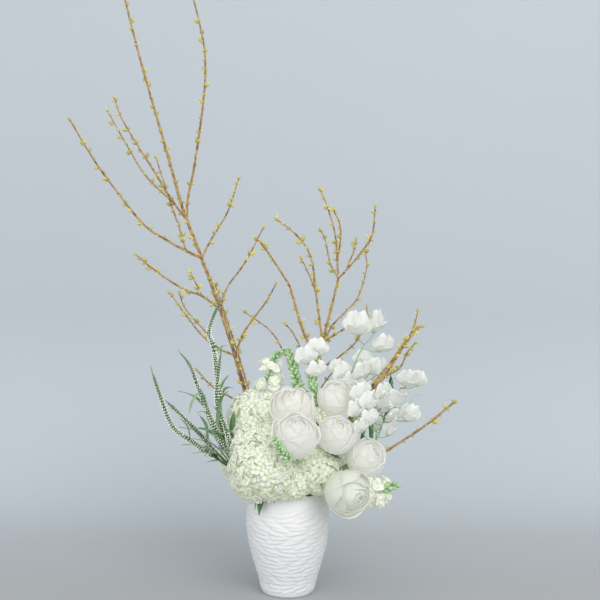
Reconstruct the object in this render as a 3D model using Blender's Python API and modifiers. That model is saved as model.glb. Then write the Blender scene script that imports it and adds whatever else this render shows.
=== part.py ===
"""Tall white and green flower arrangement in a carved ceramic vase.

The vase stands on z = 0 with its axis on z, and the arrangement's front looks along -y. Sizes are in
millimetres until a mesh is made, in metres. A place above the mouth is (across, up, depth): where the front
view shows it on the plane of the vase's axis, and how far it lies behind that plane.
"""

import math
import random

import bmesh
import bpy
from mathutils import Matrix, Vector

MM = 0.001
EYE = Vector((22, -2300, 760))  # the eye that the front view's places are sighted from
GAP = 0.35  # clearance between pieces that rest on each other
GOLDEN = math.radians(137.508)
PETAL = 0.9  # thickness
LEAF = 0.8
LEAF_NECK = 0.2  # a leaf's least width, as a share of its greatest
LEAF_START = 0.1  # where its outline starts and ends on half a wave
LEAF_END = 0.94
LEAF_ARCH = 0.14  # its rise, as a share of its length

# Vase
VASE_SEGMENTS = 24
VASE_WALL = 5
VASE_FLOOR = 7
VASE_FOOT = 45
RIM_HEIGHT = 187
RIM_EDGE = 2
VASE_OUTSIDE = [(5, 48), (27, 52.5), (46, 58.5), (84, 68.5), (110, 73), (132, 74.8), (150, 73), (168, 70),
                (184, 66)]
COURSES = 8  # rows of carved strokes
COURSE_BOTTOM = 8
COURSE_TOP = 150
STROKE_RELIEF = 2
STROKE_WAVE = 3.5  # how far a stroke climbs and falls on its way round
STROKE_WAVES = 7
STROKE_DRIFT = 0.05  # radians that the waves move round for each millimetre of height
STROKE_LIP = 0.78  # where in its row a stroke stands proudest
VASE_INSIDE = (16, 46, 84, 110, 136)  # heights where the inside wall bends
WATER_LEVEL = 112
WATER_SIDES = 12
WATER_INSET = 0.5
HOLE_CLEARANCE = 0.55

# Stems stand straight in the water, with their feet closer together than in the mouth
FOOT_SPREAD = 0.63
FOOT_HEIGHT = 9.5
SHOULDER = 0.66  # share of the way from foot to mouth that is straight
STEM_STEP = 80

# Heads: middle, radius, the way it faces, its stem's place in the mouth, and places on the stem's way
HYDRANGEAS = [
    ((-58, 317, 14), 50, (-0.4, -0.35, 0.85), (-24, 7), [(-22, 245, 4)]),
    ((-46, 225, -78), 58, (-0.3, -0.8, 0.5), (-26, -26), []),
    ((51, 218, -53), 39, (0.2, -0.8, 0.5), (26, -31), []),
    ((67, 253, 68), 46, (0.35, 0.75, 0.55), (29, 33), []),
    ((-83, 240, 52), 41, (-0.75, 0.45, 0.5), (-40, 28), []),
    ((-12, 246, 100), 38, (-0.1, 0.85, 0.5), (6, 46), []),
]
HYDRANGEA_CORE = 0.6
HYDRANGEA_SEAT = 0.8  # from the middle down to the flat underside, as a share of the core's radius
HYDRANGEA_STEM = 3
HYDRANGEA_STRAY = 0.06  # how unevenly the florets lie
BIG_HEAD = 55  # a head of this radius or more has three florets to a side of its cage, and others two
FLORET_SPREAD = 0.94  # share of its own patch that a floret fills
FLORET_NOTCH = 0.72  # between two lobes
FLORET_DISH = 0.12  # how far its middle is sunk, as a share of the head's radius
UNDERSIDE = -0.75  # cosine of the angle past which a head carries no florets
ROSES = [
    ((9, 333, -27), 42, (-0.05, -0.6, 0.8), (0, -6), [(3, 240, -2)]),
    ((15, 284, -106), 42, (0.05, -0.95, 0.3), (11, -18), [(21, 232, -24)]),
    ((85, 352, -2), 35, (0.4, -0.55, 0.75), (20, -4), [(42, 260, -2)]),
    ((86, 286, -60), 37, (0.3, -0.85, 0.4), (36, -9), [(58, 240, -6)]),
    ((140, 243, -26), 37, (0.6, -0.75, 0.25), (50, -7), [(88, 218, -6)]),
    ((107, 182, -98), 43, (0.45, -0.75, -0.45), (43, -25), [(62, 191, -29), (82, 180, -51)]),
]
ROSE_BACK = 0.62  # from a rose's middle to its stem, as a share of its radius
CALYX_LENGTH = 9
CALYX_WIDTH = 1.9  # times the stem's thickness
ROSE_STEM = 2.6
ROSE_HEART = 0.42
ROSE_HEART_TOP = 0.4
PETAL_FOOT = 0.7  # spread at a petal's foot, as a share of that at its lip
PETAL_CUP = 0.8  # under 1, a petal leans out low down and then stands up
PETAL_TWIST = 0.16  # how much further out one edge lies than the middle, and the other further in
PETAL_CROWN = 0.1  # how far the lip falls to its edges
PETAL_WAVE = 0.05
RING_TURN = 0.37  # how far each ring is turned on the last one, in petals
RING_STRAY = 0.08
# rings of petals: how many, then as shares of the radius reach at the foot and the lip and height at the
# foot and the lip, then half width and cells up the petal
ROSE_RINGS = [
    (3, 0.3, 0.36, 0.0, 0.62, 55, 1),
    (4, 0.3, 0.7, -0.3, 0.5, 48, 1),
    (5, 0.24, 1.0, -0.44, 0.16, 42, 2),
]

# Spikes: place in the mouth, places up the stem, share of the stem's length where the flowers start
SPIKE_FLOWERS = 30  # on a stem's whole length, if it flowered all the way
WHITE_SPIKES = (1, 5)  # these have open florets under their buds
SPIKE_STEM = 2.2
OPEN_SHARE = 0.6  # of a white spike
OPEN_STALK = 17
OPEN_FLORET = (3, 12, 7, 4)  # lobes, radius, radius at the notches, and how deep it is dished
OPEN_RISE = 0.4  # how far a flower leans up its stem
BUD_RISE = 0.7
LOW_BUD = (18, 5.5)  # length and radius
TIP_BUD = (10, 3)
VERONICA_STEM = 1.6
VERONICA_SWELLS = {-1: 0.9, -2: 2.2, -3: 2.8, -4: 2}
VERONICA_BUDS = 8
VERONICA_LOW_BUD = (9, 2.4)
VERONICA_TIP_BUD = (5, 1.4)
BUD_START = 0.65  # where the first bud grows, as a share of the space between two
SNAPDRAGONS = [
    ((-9, 24), [(-2, 240, 34), (-8, 330, 54), (-28, 362, 62), (-33, 395, 56), (-22, 428, 48),
                 (-4, 441, 42)], 0.6),
    ((2, 13), [(8, 250, 20), (15, 340, 30), (17, 375, 28), (10, 410, 24), (2, 441, 22)], 0.78),
    ((20, 11), [(42, 250, 10), (57, 335, 14), (50, 365, 12), (38, 396, 8)], 0.8),
    ((11, -39), [(11, 226, -31), (15, 245, -50), (18, 238, -90), (12, 236, -124), (-12, 256, -140),
                 (-23, 281, -142)], 0.82),
    ((51, -18), [(72, 197, -22), (118, 190, -30), (157, 185, -36), (180, 190, -38), (193, 196, -38)], 0.72),
]
VERONICAS = [
    ((-53, -6), [(-104, 226, -6), (-176, 277, -10), (-208, 304, -12), (-232, 368, -14),
                 (-246, 413, -12)], 0.5),
    ((-50, 7), [(-98, 236, 6), (-131, 295, 14), (-162, 377, 18), (-175, 413, 20), (-196, 440, 22)], 0.5),
    ((-42, 11), [(-84, 236, 2), (-114, 300, 10), (-128, 437, 14), (-137, 476, 12), (-113, 543, 4)], 0.55),
    ((-44, -7), [(-86, 238, -14), (-114, 290, -20), (-127, 350, -24), (-124, 400, -22),
                 (-117, 449, -18)], 0.55),
    ((-55, 4), [(-110, 236, 2), (-160, 290, 6), (-194, 325, 10), (-220, 350, 14)], 0.65),
    ((-46, -17), [(-92, 240, -26), (-126, 290, -34), (-146, 340, -38), (-156, 372, -38)], 0.6),
]
PEA_STEM = 1.6
PEA_STALK = [1.2, 1.3, 3.2]  # its radius at the stem, near its end and in the blossom
PEA_DROOP = 14  # how far under a blossom its stalk leaves the stem, or nearly so
PEA_JOINTS = [0.5, 0.6, 0.7, 0.8, 0.88, 0.96]  # where stalks can leave it, as shares of its length
# Shares of a blossom's half width
PEA_FOOT = 0.3
PEA_RISE = 1.3
PEA_ROLL = 0.22
PEA_RUFFLE = (0.06, 0.12)
WING_WIDTH = 0.5
WING_RISE = 0.85
WING_START = 0.06
WING_LEAN = 0.35
WING_FOLD = 0.2
# Sweet pea sprays: place in the mouth, places up the stem, and the blossoms' places and half widths
SWEET_PEAS = [
    ((33, 18), [(46, 250, 18), (52, 330, 30), (50, 385, 24), (48, 408, 20)],
     [((38, 416, 8), 17), ((53, 429, 26), 17)]),
    ((42, 22), [(70, 255, 12), (98, 330, 40), (117, 408, 30), (136, 450, 32)],
     [((124, 468, 18), 22), ((154, 472, 44), 21), ((164, 438, 30), 17)]),
    ((44, 11), [(84, 240, 10), (112, 300, 30), (124, 350, 34), (126, 378, 30)],
     [((106, 386, 40), 17), ((131, 388, 14), 18), ((160, 396, 40), 16), ((126, 336, 48), 18)]),
    ((53, 4), [(104, 224, 6), (150, 262, 14), (172, 310, 16), (188, 350, 14), (202, 372, 14)],
     [((183, 336, -8), 22), ((212, 376, -4), 18), ((231, 376, 26), 14),
      ((159, 294, 34), 17), ((214, 312, -4), 17)]),
]
# Narrow leaves: whose stem (name), share of its length where the leaf grows, the tip's place, half width
LEAVES = [
    ("hydrangea_2", 0.64, (-50, 139, -66), 6),
    ("veronica_1", 0.42, (-146, 236, -44), 5),
    ("veronica_1", 0.46, (-190, 268, 24), 5),
    ("veronica_2", 0.5, (-176, 300, 50), 5),
    ("veronica_2", 0.62, (-196, 366, 40), 4),
    ("veronica_3", 0.6, (-98, 372, 52), 4),
    ("veronica_4", 0.5, (-96, 330, -56), 5),
    ("veronica_5", 0.6, (-196, 300, -10), 4),
    ("veronica_6", 0.5, (-170, 300, -60), 5),
]

# Forsythia branches. The trunk has a place in the mouth, its radius there and at its tip, and its places.
# A twig has its root (run, place on that run), its radius, its tip's depth, and (across, up) places.
TALL_TRUNK = ((-9, 44), 4.8, 1.4, [
    (-28, 226, 60), (-64, 330, 83), (-80, 379, 88), (-94, 430, 90), (-120, 513, 88), (-152, 604, 84),
    (-178, 672, 80), (-190, 709, 78), (-214, 798, 73), (-255, 945, 64), (-282, 1054, 58), (-298, 1128, 54)])
TALL_TWIGS = [
    ((0, 6), 2.2, 20, [(-176, 709), (-163, 772), (-146, 890), (-144, 960), (-152, 1010), (-163, 1054),
                       (-178, 1105)]),
    ((0, 6), 2, 150, [(-199, 700), (-232, 753), (-287, 843), (-303, 885)]),
    ((2, 0), 1.6, 50, [(-248, 748), (-281, 801), (-315, 863)]),
    ((0, 5), 2.2, 10, [(-180, 618), (-211, 635), (-256, 666), (-320, 748), (-353, 798), (-381, 847)]),
    ((4, 0), 1.6, 130, [(-194, 667), (-207, 703), (-231, 781)]),
    ((0, 5), 1.8, 140, [(-135, 638), (-106, 686), (-86, 745)]),
    ((0, 4), 2, 10, [(-152, 537), (-186, 550), (-234, 582), (-268, 610)]),
    ((7, 0), 1.4, 70, [(-162, 558), (-172, 579)]),
    ((0, 4), 1.8, 150, [(-107, 553), (-76, 596), (-43, 658)]),
    ((0, 3), 1.8, 160, [(-125, 444), (-153, 467), (-178, 499), (-209, 542)]),
    ((10, 0), 1.6, 60, [(-144, 470), (-181, 513), (-192, 541)]),
    ((0, 3), 2, 40, [(-79, 470), (-53, 507), (-36, 530), (-21, 559)]),
    ((0, 1), 1.8, 60, [(-94, 350), (-128, 370), (-145, 384), (-162, 404)]),
]
MIDDLE_TRUNK = ((15, 26), 4, 2.4, [
    (24, 250, 44), (42, 340, 60), (52, 400, 66), (62, 453, 64), (81, 530, 58), (90, 569, 55)])
MIDDLE_TWIGS = [
    ((0, 2), 2.4, 10, [(43, 437), (26, 478), (9, 536), (1, 559), (-39, 621), (-56, 640)]),
    ((0, 2), 1.6, 110, [(30, 432), (10, 470), (-4, 487)]),
    ((0, 1), 1.8, 110, [(20, 385), (-7, 437), (-31, 475), (-74, 507)]),
    ((0, 5), 2, 80, [(88, 600), (84, 648), (69, 699), (58, 724)]),
    ((4, 0), 1.6, 20, [(94, 640), (92, 665), (82, 689)]),
    ((0, 5), 1.6, 100, [(76, 594), (67, 635), (59, 653)]),
    ((0, 5), 2, 10, [(104, 583), (128, 612), (149, 644), (155, 695)]),
    ((7, 0), 1.4, 90, [(117, 617), (121, 637)]),
    ((0, 3), 1.8, 120, [(81, 486), (103, 509), (125, 535), (140, 585), (138, 613)]),
    ((0, 3), 1.6, 120, [(84, 468), (105, 481)]),
    ((0, 2), 1.8, 110, [(72, 415), (93, 429), (123, 457), (140, 497), (141, 515)]),
    ((0, 1), 1.6, 100, [(67, 383), (89, 410)]),
]
RIGHT_TRUNK = ((33, 2), 4.2, 3, [
    (60, 232, 2), (100, 300, 2), (156, 375, -4), (172, 392, -6), (201, 439, -8), (218, 464, -10),
    (235, 482, -10)])
RIGHT_TWIGS = [
    ((0, 5), 1.8, 20, [(228, 493), (231, 510)]),
    ((0, 3), 2, -50, [(200, 408), (213, 435), (227, 452)]),
]
LOW_TRUNK = ((53, 15), 3.4, 1.8, [
    (70, 208, 18), (110, 222, 20), (167, 251, 24), (232, 293, 28), (259, 313, 30), (296, 344, 30)])
TWIG_TIP = 0.6  # a twig's radius at its tip, as a share of that at its root
TWIG_STEP = 60
BUD_SPACING = 108
BUD_LENGTH = 8
BUD_RADIUS = 2.4
BUD_ROOT = 0.9  # how far it is sunk
BARK_SHARE = 0.7  # a square twig's bark, as a share of its radius at its corners
BUD_LEAN = 0.8
FIRST_BUD = 0.6  # as a share of the space between two


def clear_scene():
    for old in list(bpy.data.objects):
        bpy.data.objects.remove(old)


def material(name, colour, roughness):
    made = bpy.data.materials.new(name)
    made.use_nodes = True
    shader = made.node_tree.nodes["Principled BSDF"]
    shader.inputs["Base Color"].default_value = (*colour, 1)
    shader.inputs["Roughness"].default_value = roughness
    return made


def seen(place):
    """The real place of (across, up, depth)."""
    across, up, depth = place
    return EYE + (Vector((across, 0, up)) - EYE) * ((depth - EYE.y) / -EYE.y)


def along(points, step):
    """Points about a step apart on a smooth curve through the given ones."""
    ends = [points[0] * 2 - points[1]] + points + [points[-1] * 2 - points[-2]]
    smooth = []
    for before, start, end, after in zip(ends, ends[1:], ends[2:], ends[3:]):
        pieces = max(1, round((end - start).length / step))
        for i in range(pieces):
            t = i / pieces
            bend = (2 * before - 5 * start + 4 * end - after) * t**2
            twist = (3 * start - before - 3 * end + after) * t**3
            smooth.append((2 * start + (end - before) * t + bend + twist) / 2)
    return smooth + [points[-1]]


def evaluated(obj):
    """The object's mesh with its modifiers applied. The object goes."""
    bpy.context.view_layer.update()
    graph = bpy.context.evaluated_depsgraph_get()
    mesh = bpy.data.meshes.new_from_object(obj.evaluated_get(graph))
    bpy.data.objects.remove(obj)
    return mesh


def loose(data, matrix=None):
    """A piece that is still to be fused, set in its place."""
    if matrix is not None:
        data.transform(matrix)
    piece = bpy.data.objects.new("piece", data)
    bpy.context.scene.collection.objects.link(piece)
    return piece


def metres(shape):
    """A mesh in metres from a bmesh in millimetres."""
    bmesh.ops.scale(shape, vec=(MM, MM, MM), verts=shape.verts)
    mesh = bpy.data.meshes.new("piece")
    shape.to_mesh(mesh)
    shape.free()
    return mesh


def facing(place, direction, turn=0.0):
    """Stands a piece at a place with its own +Z along a direction."""
    stand = Vector(direction).to_track_quat("Z", "Y").to_matrix().to_4x4()
    return Matrix.Translation(place * MM) @ stand @ Matrix.Rotation(turn, 4, "Z")


def tube(points, radii, rounding=0):
    """A round stem through the points, with a radius at each, or one for either end."""
    if len(radii) == 2:
        last = len(points) - 1
        radii = [radii[0] + (radii[1] - radii[0]) * i / last for i in range(last + 1)]
    curve = bpy.data.curves.new("stem", "CURVE")
    curve.dimensions = "3D"
    curve.bevel_depth = MM
    curve.bevel_resolution = rounding
    curve.use_fill_caps = True
    spline = curve.splines.new("POLY")
    spline.points.add(len(points) - 1)
    for spot, point, radius in zip(spline.points, points, radii):
        spot.co = (*(point * MM), 1)
        spot.radius = radius
    mesh = evaluated(loose(curve))
    shape = bmesh.new()
    shape.from_mesh(mesh)
    bmesh.ops.remove_doubles(shape, verts=shape.verts, dist=1e-6)
    shape.to_mesh(mesh)
    shape.free()
    return loose(mesh)


def bud(matrix, length, radius, sides=4, widest=0.4):
    """Pointed at both ends, with its foot on the origin and its tip on +Z."""
    shape = bmesh.new()
    bmesh.ops.create_uvsphere(shape, u_segments=sides, v_segments=2, radius=1)
    for vert in shape.verts:
        height = {-1: 0, 0: widest, 1: 1}[round(vert.co.z)]
        vert.co = (vert.co.x * radius, vert.co.y * radius, height * length)
    return loose(metres(shape), matrix)


def floret(matrix, lobes, radius, notch, dish, stalk):
    """An open flower: a ring of lobes round a sunk middle, on a stalk that runs back to a point."""
    shape = bmesh.new()
    bmesh.ops.create_uvsphere(shape, u_segments=2 * lobes, v_segments=2, radius=1)
    for vert in shape.verts:
        side = round(vert.co.z)
        around = math.atan2(vert.co.y, vert.co.x)
        lobe = round(around * lobes / math.pi) % 2 == 0
        reach = 0 if side else (radius if lobe else notch)
        height = {-1: -stalk, 0: 0 if lobe else -dish, 1: -dish}[side]
        vert.co = (reach * math.cos(around), reach * math.sin(around), height)
    return loose(metres(shape), matrix)


def blade(matrix, place_of, across, along_it, thickness):
    """A petal or leaf. place_of gives a point from a share across, -1 to 1, and along, 0 to 1."""
    shape = bmesh.new()
    bmesh.ops.create_grid(shape, x_segments=across, y_segments=along_it, size=1)
    for vert in shape.verts:
        vert.co = place_of(vert.co.x, (vert.co.y + 1) / 2)
    bmesh.ops.triangulate(shape, faces=shape.faces)
    sheet = loose(metres(shape))
    skin = sheet.modifiers.new("Thickness", "SOLIDIFY")
    skin.thickness = thickness * MM
    skin.offset = 0
    return loose(evaluated(sheet), matrix)


def fused(name, pieces, look, cut=False):
    """One node: the first piece with the others joined to it, or cut out of it."""
    base, others = pieces[0], pieces[1:]
    if others:
        operands = bpy.data.collections.new("operands")
        bpy.context.scene.collection.children.link(operands)
        for piece in others:
            bpy.context.scene.collection.objects.unlink(piece)
            operands.objects.link(piece)
        join = base.modifiers.new("Join", "BOOLEAN")
        join.operation = "DIFFERENCE" if cut else "UNION"
        join.solver = "MANIFOLD"
        join.operand_type = "COLLECTION"
        join.collection = operands
    mesh = evaluated(base)
    for piece in others:
        bpy.data.objects.remove(piece)
    if others:
        bpy.data.collections.remove(operands)
    mesh.name = name
    mesh.materials.clear()
    mesh.materials.append(look)
    node = bpy.data.objects.new(name, mesh)
    ARRANGEMENT.objects.link(node)
    return node


def vase_radius(height):
    for (low, inner), (high, outer) in zip(VASE_OUTSIDE, VASE_OUTSIDE[1:]):
        if height <= high:
            return inner + (outer - inner) * (height - low) / (high - low)
    return VASE_OUTSIDE[-1][1]


def turned(profile, segments):
    """A solid from (radius, height) points that run from the top of its axis down its outer side."""
    mesh = bpy.data.meshes.new("profile")
    steps = [(i, i + 1) for i in range(len(profile) - 1)]
    mesh.from_pydata([(radius * MM, 0, height * MM) for radius, height in profile], steps, [])
    piece = loose(mesh)
    screw = piece.modifiers.new("Turn", "SCREW")
    screw.steps = screw.render_steps = segments
    screw.use_merge_vertices = True
    screw.merge_threshold = 1e-6
    return piece


def vase():
    """A turned wall whose outside is raised in rows of strokes that climb and fall on their way round."""
    course = (COURSE_TOP - COURSE_BOTTOM) / COURSES
    tucks = [COURSE_BOTTOM + i * course for i in range(COURSES)]
    lips = [tuck + STROKE_LIP * course for tuck in tucks]
    strokes = sorted(tucks + lips) + [COURSE_TOP]
    edge = vase_radius(RIM_HEIGHT)
    profile = [(0, VASE_FLOOR), (vase_radius(VASE_FLOOR) - 2 * VASE_WALL, VASE_FLOOR)]
    profile += [(vase_radius(height) - VASE_WALL, height) for height in VASE_INSIDE]
    shoulder = RIM_HEIGHT - RIM_EDGE
    profile += [(edge - VASE_WALL, shoulder), (edge - RIM_EDGE, RIM_HEIGHT), (edge, shoulder)]
    profile += [(vase_radius(height), height) for height in strokes[::-1]]
    profile += [(VASE_FOOT + 1.5, RIM_EDGE), (VASE_FOOT, 0), (0, 0)]
    mesh = evaluated(turned(profile, VASE_SEGMENTS))
    for vert in mesh.vertices:
        place = vert.co / MM
        radius = math.hypot(place.x, place.y)
        if COURSE_BOTTOM - 1 < place.z < COURSE_TOP - 1 and radius > vase_radius(place.z) - 1:
            lip = min(abs(place.z - height) for height in lips) < 1
            around = math.atan2(place.y, place.x)
            wave = STROKE_WAVE * math.sin(STROKE_WAVES * (around + STROKE_DRIFT * place.z))
            swell = (radius + STROKE_RELIEF * lip) / radius
            vert.co = Vector((place.x * swell, place.y * swell, place.z + wave)) * MM
    fused("vase", [loose(mesh)], CERAMIC)


def water():
    """The water up to its level, with a plain hole for each stem."""
    inset = VASE_WALL + WATER_INSET
    levels = [WATER_LEVEL] + [height for height in VASE_INSIDE[::-1] if height < WATER_LEVEL]
    profile = [(0, WATER_LEVEL)] + [(vase_radius(height) - inset, height) for height in levels]
    bottom = VASE_FLOOR + GAP
    profile += [(vase_radius(bottom) - inset - VASE_WALL - 1, bottom), (0, bottom)]
    holes = []
    for foot, shoulder, thickness, rounding in HOLES:
        under = foot - (shoulder - foot).normalized() * GAP
        holes.append(tube([under, shoulder], [thickness + HOLE_CLEARANCE] * 2, rounding))
    fused("water", [turned(profile, WATER_SIDES)] + holes, WATER, cut=True)


def stem(name, mouth, way, thickness, swells=None, tip=None, rounding=0):
    """A stem, straight in the water and then through the places above the mouth. It can taper to a radius at
    its tip, or have swells: shares of its thickness at some of its points."""
    lip = Vector((*mouth, RIM_HEIGHT))
    foot = Vector((mouth[0] * FOOT_SPREAD, mouth[1] * FOOT_SPREAD, FOOT_HEIGHT))
    shoulder = foot.lerp(lip, SHOULDER)
    points = [foot] + along([shoulder, lip] + way, STEM_STEP)
    last = len(points) - 1
    tip = tip or thickness
    radii = [thickness] + [thickness + (tip - thickness) * i / (last - 1) for i in range(last)]
    for i, share in (swells or {}).items():
        radii[i] = share * thickness
    STEMS[name] = points
    HOLES.append((foot, shoulder, thickness, rounding))
    return tube(points, radii, rounding)


def at_share(points, share):
    """The place and heading at a share of the way along the points."""
    spot = share * (len(points) - 1)
    i = min(int(spot), len(points) - 2)
    step = points[i + 1] - points[i]
    return points[i] + step * (spot - i), step.normalized()


def leaf(root, tip, half_width):
    """A lance leaf that arches from its root to its tip."""
    reach = tip - root

    def place_of(across, share):
        bulge = math.sin(math.pi * (LEAF_START + (LEAF_END - LEAF_START) * share))
        width = half_width * (LEAF_NECK + (1 - LEAF_NECK) * bulge)
        arch = LEAF_ARCH * reach.length * math.sin(math.pi * share)
        return Vector((width * across, arch, reach.length * share))

    return blade(facing(root, reach), place_of, 1, 3, LEAF)


def leaves_on(name):
    pieces = []
    for owner, share, tip, half_width in LEAVES:
        if owner == name:
            root, _ = at_share(STEMS[name], share)
            pieces.append(leaf(root, seen(tip), half_width))
    return pieces


def head_stem(name, middle, direction, back, mouth, way, thickness):
    """A stem that widens to a flat end against the back of a head."""
    end = middle - direction * (back + GAP)
    neck = end - direction * CALYX_LENGTH
    shaft = stem(name, mouth, [seen(place) for place in way] + [neck, end], thickness, {-1: CALYX_WIDTH})
    fused(name + "_stem", [shaft] + leaves_on(name), GREEN)


def hydrangea(number, place, radius, direction, mouth, way):
    """A round cage whose patches each grow out into a four-lobed floret, but not on its flat underside."""
    name = f"hydrangea_{number}"
    middle, direction = seen(place), Vector(direction).normalized()
    core = radius * HYDRANGEA_CORE
    seat = HYDRANGEA_SEAT * core
    head_stem(name, middle, direction, seat, mouth, way, HYDRANGEA_STEM)
    draw = random.Random(number)
    head = bmesh.new()
    bmesh.ops.create_cube(head, size=2)
    cuts = 2 if radius >= BIG_HEAD else 1
    bmesh.ops.subdivide_edges(head, edges=head.edges, cuts=cuts, use_grid_fill=True)
    for vert in head.verts:
        even = [math.tan(side * math.pi / 4) for side in vert.co]
        stray = [draw.uniform(-HYDRANGEA_STRAY, HYDRANGEA_STRAY) for _ in range(3)]
        vert.co = (Vector(even).normalized() + Vector(stray)).normalized() * core
        vert.co.z = max(vert.co.z, -seat)
    grown = [face for face in head.faces if face.calc_center_median().normalized().z > UNDERSIDE]
    tops = bmesh.ops.extrude_discrete_faces(head, faces=grown)["faces"]
    for face in tops:
        heading = face.calc_center_median().normalized()
        lobes = list(face.verts)
        notches = [bmesh.utils.edge_split(edge, edge.verts[0], 0.5)[1] for edge in list(face.edges)]
        for vert in lobes + notches:
            vert.co *= radius / core
            spread = FLORET_SPREAD * (1 if vert in lobes else FLORET_NOTCH)
            vert.co = (heading * vert.co.dot(heading)).lerp(vert.co, spread)
    for middle_vert in bmesh.ops.poke(head, faces=tops)["verts"]:
        middle_vert.co *= 1 - FLORET_DISH
    fused(name + "_head", [loose(metres(head), facing(middle, direction))], CREAM)


def rose_petal(matrix, radius, ring, wave):
    """A cupped petal. One edge lies inside its neighbour and the other outside."""
    _, foot_reach, reach, foot, lip, half_width, cells = ring

    def place_of(across, share):
        around = math.radians(half_width) * across * (PETAL_FOOT + (1 - PETAL_FOOT) * share)
        out = radius * (foot_reach + (reach - foot_reach) * share**PETAL_CUP)
        out *= 1 + share * (PETAL_TWIST * across + wave * across**2)
        height = radius * (foot + (lip - foot) * share - PETAL_CROWN * across**2 * share)
        return Vector((out * math.cos(around), out * math.sin(around), height))

    return blade(matrix, place_of, 2, cells, PETAL)


def rose(number, place, radius, direction, mouth, way):
    """Rings of cupped petals round a closed heart."""
    name = f"rose_{number}"
    middle, direction = seen(place), Vector(direction).normalized()
    head_stem(name, middle, direction, ROSE_BACK * radius, mouth, way, ROSE_STEM)
    heart = bmesh.new()
    bmesh.ops.create_uvsphere(heart, u_segments=5, v_segments=3, radius=1)
    wide = ROSE_HEART * radius
    half_height = (ROSE_BACK + ROSE_HEART_TOP) / 2
    bmesh.ops.scale(heart, vec=(wide, wide, half_height * radius), verts=heart.verts)
    bmesh.ops.translate(heart, vec=(0, 0, (half_height - ROSE_BACK) * radius), verts=heart.verts)
    pieces = [loose(metres(heart), facing(middle, direction))]
    draw = random.Random(number)
    for i, ring in enumerate(ROSE_RINGS):
        count = ring[0]
        for petal in range(count):
            turn = 2 * math.pi * (petal + RING_TURN * i) / count + draw.uniform(-RING_STRAY, RING_STRAY)
            wave = draw.uniform(-PETAL_WAVE, PETAL_WAVE)
            pieces.append(rose_petal(facing(middle, direction, turn), radius, ring, wave))
    fused(name + "_bloom", pieces, WHITE)


def between(low, high, share):
    return [a + (b - a) * share for a, b in zip(low, high)]


def side_of(heading, turn):
    """A direction square to the heading, turned round it."""
    return facing(Vector(), heading, turn).to_3x3() @ Vector((1, 0, 0))


def snapdragon(number, mouth, way, start):
    """A spike: open florets low down, then buds that get smaller towards the tip."""
    name = f"snapdragon_{number}"
    pieces = [stem(name, mouth, [seen(place) for place in way], SPIKE_STEM)]
    count = round(SPIKE_FLOWERS * (1 - start))
    for i in range(count):
        age = i / count
        spot, heading = at_share(STEMS[name], start + (1 - start) * age)
        side = side_of(heading, i * GOLDEN)
        if number in WHITE_SPIKES and age < OPEN_SHARE:
            out = (side + heading * OPEN_RISE).normalized()
            pieces.append(floret(facing(spot + out * OPEN_STALK, out), *OPEN_FLORET, OPEN_STALK))
        else:
            out = (side + heading * (BUD_RISE + age)).normalized()
            pieces.append(bud(facing(spot, out), *between(LOW_BUD, TIP_BUD, age)))
    fused(name, pieces, FRESH)


def veronica(number, mouth, way, start):
    """A long thin spike, set all round with small buds."""
    name = f"veronica_{number}"
    pieces = [stem(name, mouth, [seen(place) for place in way], VERONICA_STEM, VERONICA_SWELLS)]
    for i in range(VERONICA_BUDS):
        age = (i + BUD_START) / VERONICA_BUDS
        spot, heading = at_share(STEMS[name], start + (1 - start) * age)
        out = (side_of(heading, i * GOLDEN) + heading * BUD_RISE).normalized()
        pieces.append(bud(facing(spot, out), *between(VERONICA_LOW_BUD, VERONICA_TIP_BUD, age), 3))
    fused(name, pieces + leaves_on(name), SAGE)


def pea_blossom(place, direction, size, draw):
    """A broad ruffled petal standing behind two folded wings."""
    ruffle = draw.uniform(*PEA_RUFFLE)
    phase = draw.uniform(0, math.pi)

    def standard(across, share):
        width = size * (PEA_FOOT + (1 - PEA_FOOT) * math.sin(math.pi * (0.12 + 0.6 * share)))
        fold = ruffle * math.sin(4 * across + phase) * share - PEA_ROLL * (across**2 + share)
        return Vector((width * across, fold * size, size * PEA_RISE * share))

    def wings(across, share):
        width = WING_WIDTH * size * (PEA_FOOT + (1 - PEA_FOOT) * share)
        fold = WING_START + (WING_LEAN - WING_FOLD * abs(across)) * share
        return Vector((width * across, fold * size, WING_RISE * size * share))

    stand = facing(place, direction)
    return [blade(stand, standard, 2, 2, PETAL), blade(stand, wings, 2, 1, PETAL)]


def sweet_pea(number, mouth, way, blossoms):
    """A spray: a stem, and a blossom on a short stalk at each of its places."""
    name = f"sweet_pea_{number}"
    pieces = [stem(name, mouth, [seen(place) for place in way], PEA_STEM)]
    draw = random.Random(number)
    joints = [at_share(STEMS[name], share)[0] for share in PEA_JOINTS]
    for place, size in blossoms:
        foot = seen(place)
        fork = foot - Vector((0, 0, PEA_DROOP))
        joint = min(joints, key=lambda point: (point - fork).length)
        up = Vector((draw.uniform(-0.3, 0.3), draw.uniform(-0.3, 0.1), 1)) + (foot - joint).normalized() / 2
        up.normalize()
        pieces.append(tube([joint, joint.lerp(foot, 0.8), foot + up * 2], PEA_STALK))
        pieces += pea_blossom(foot, up, size, draw)
    fused(name, pieces, WHITE)


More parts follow.
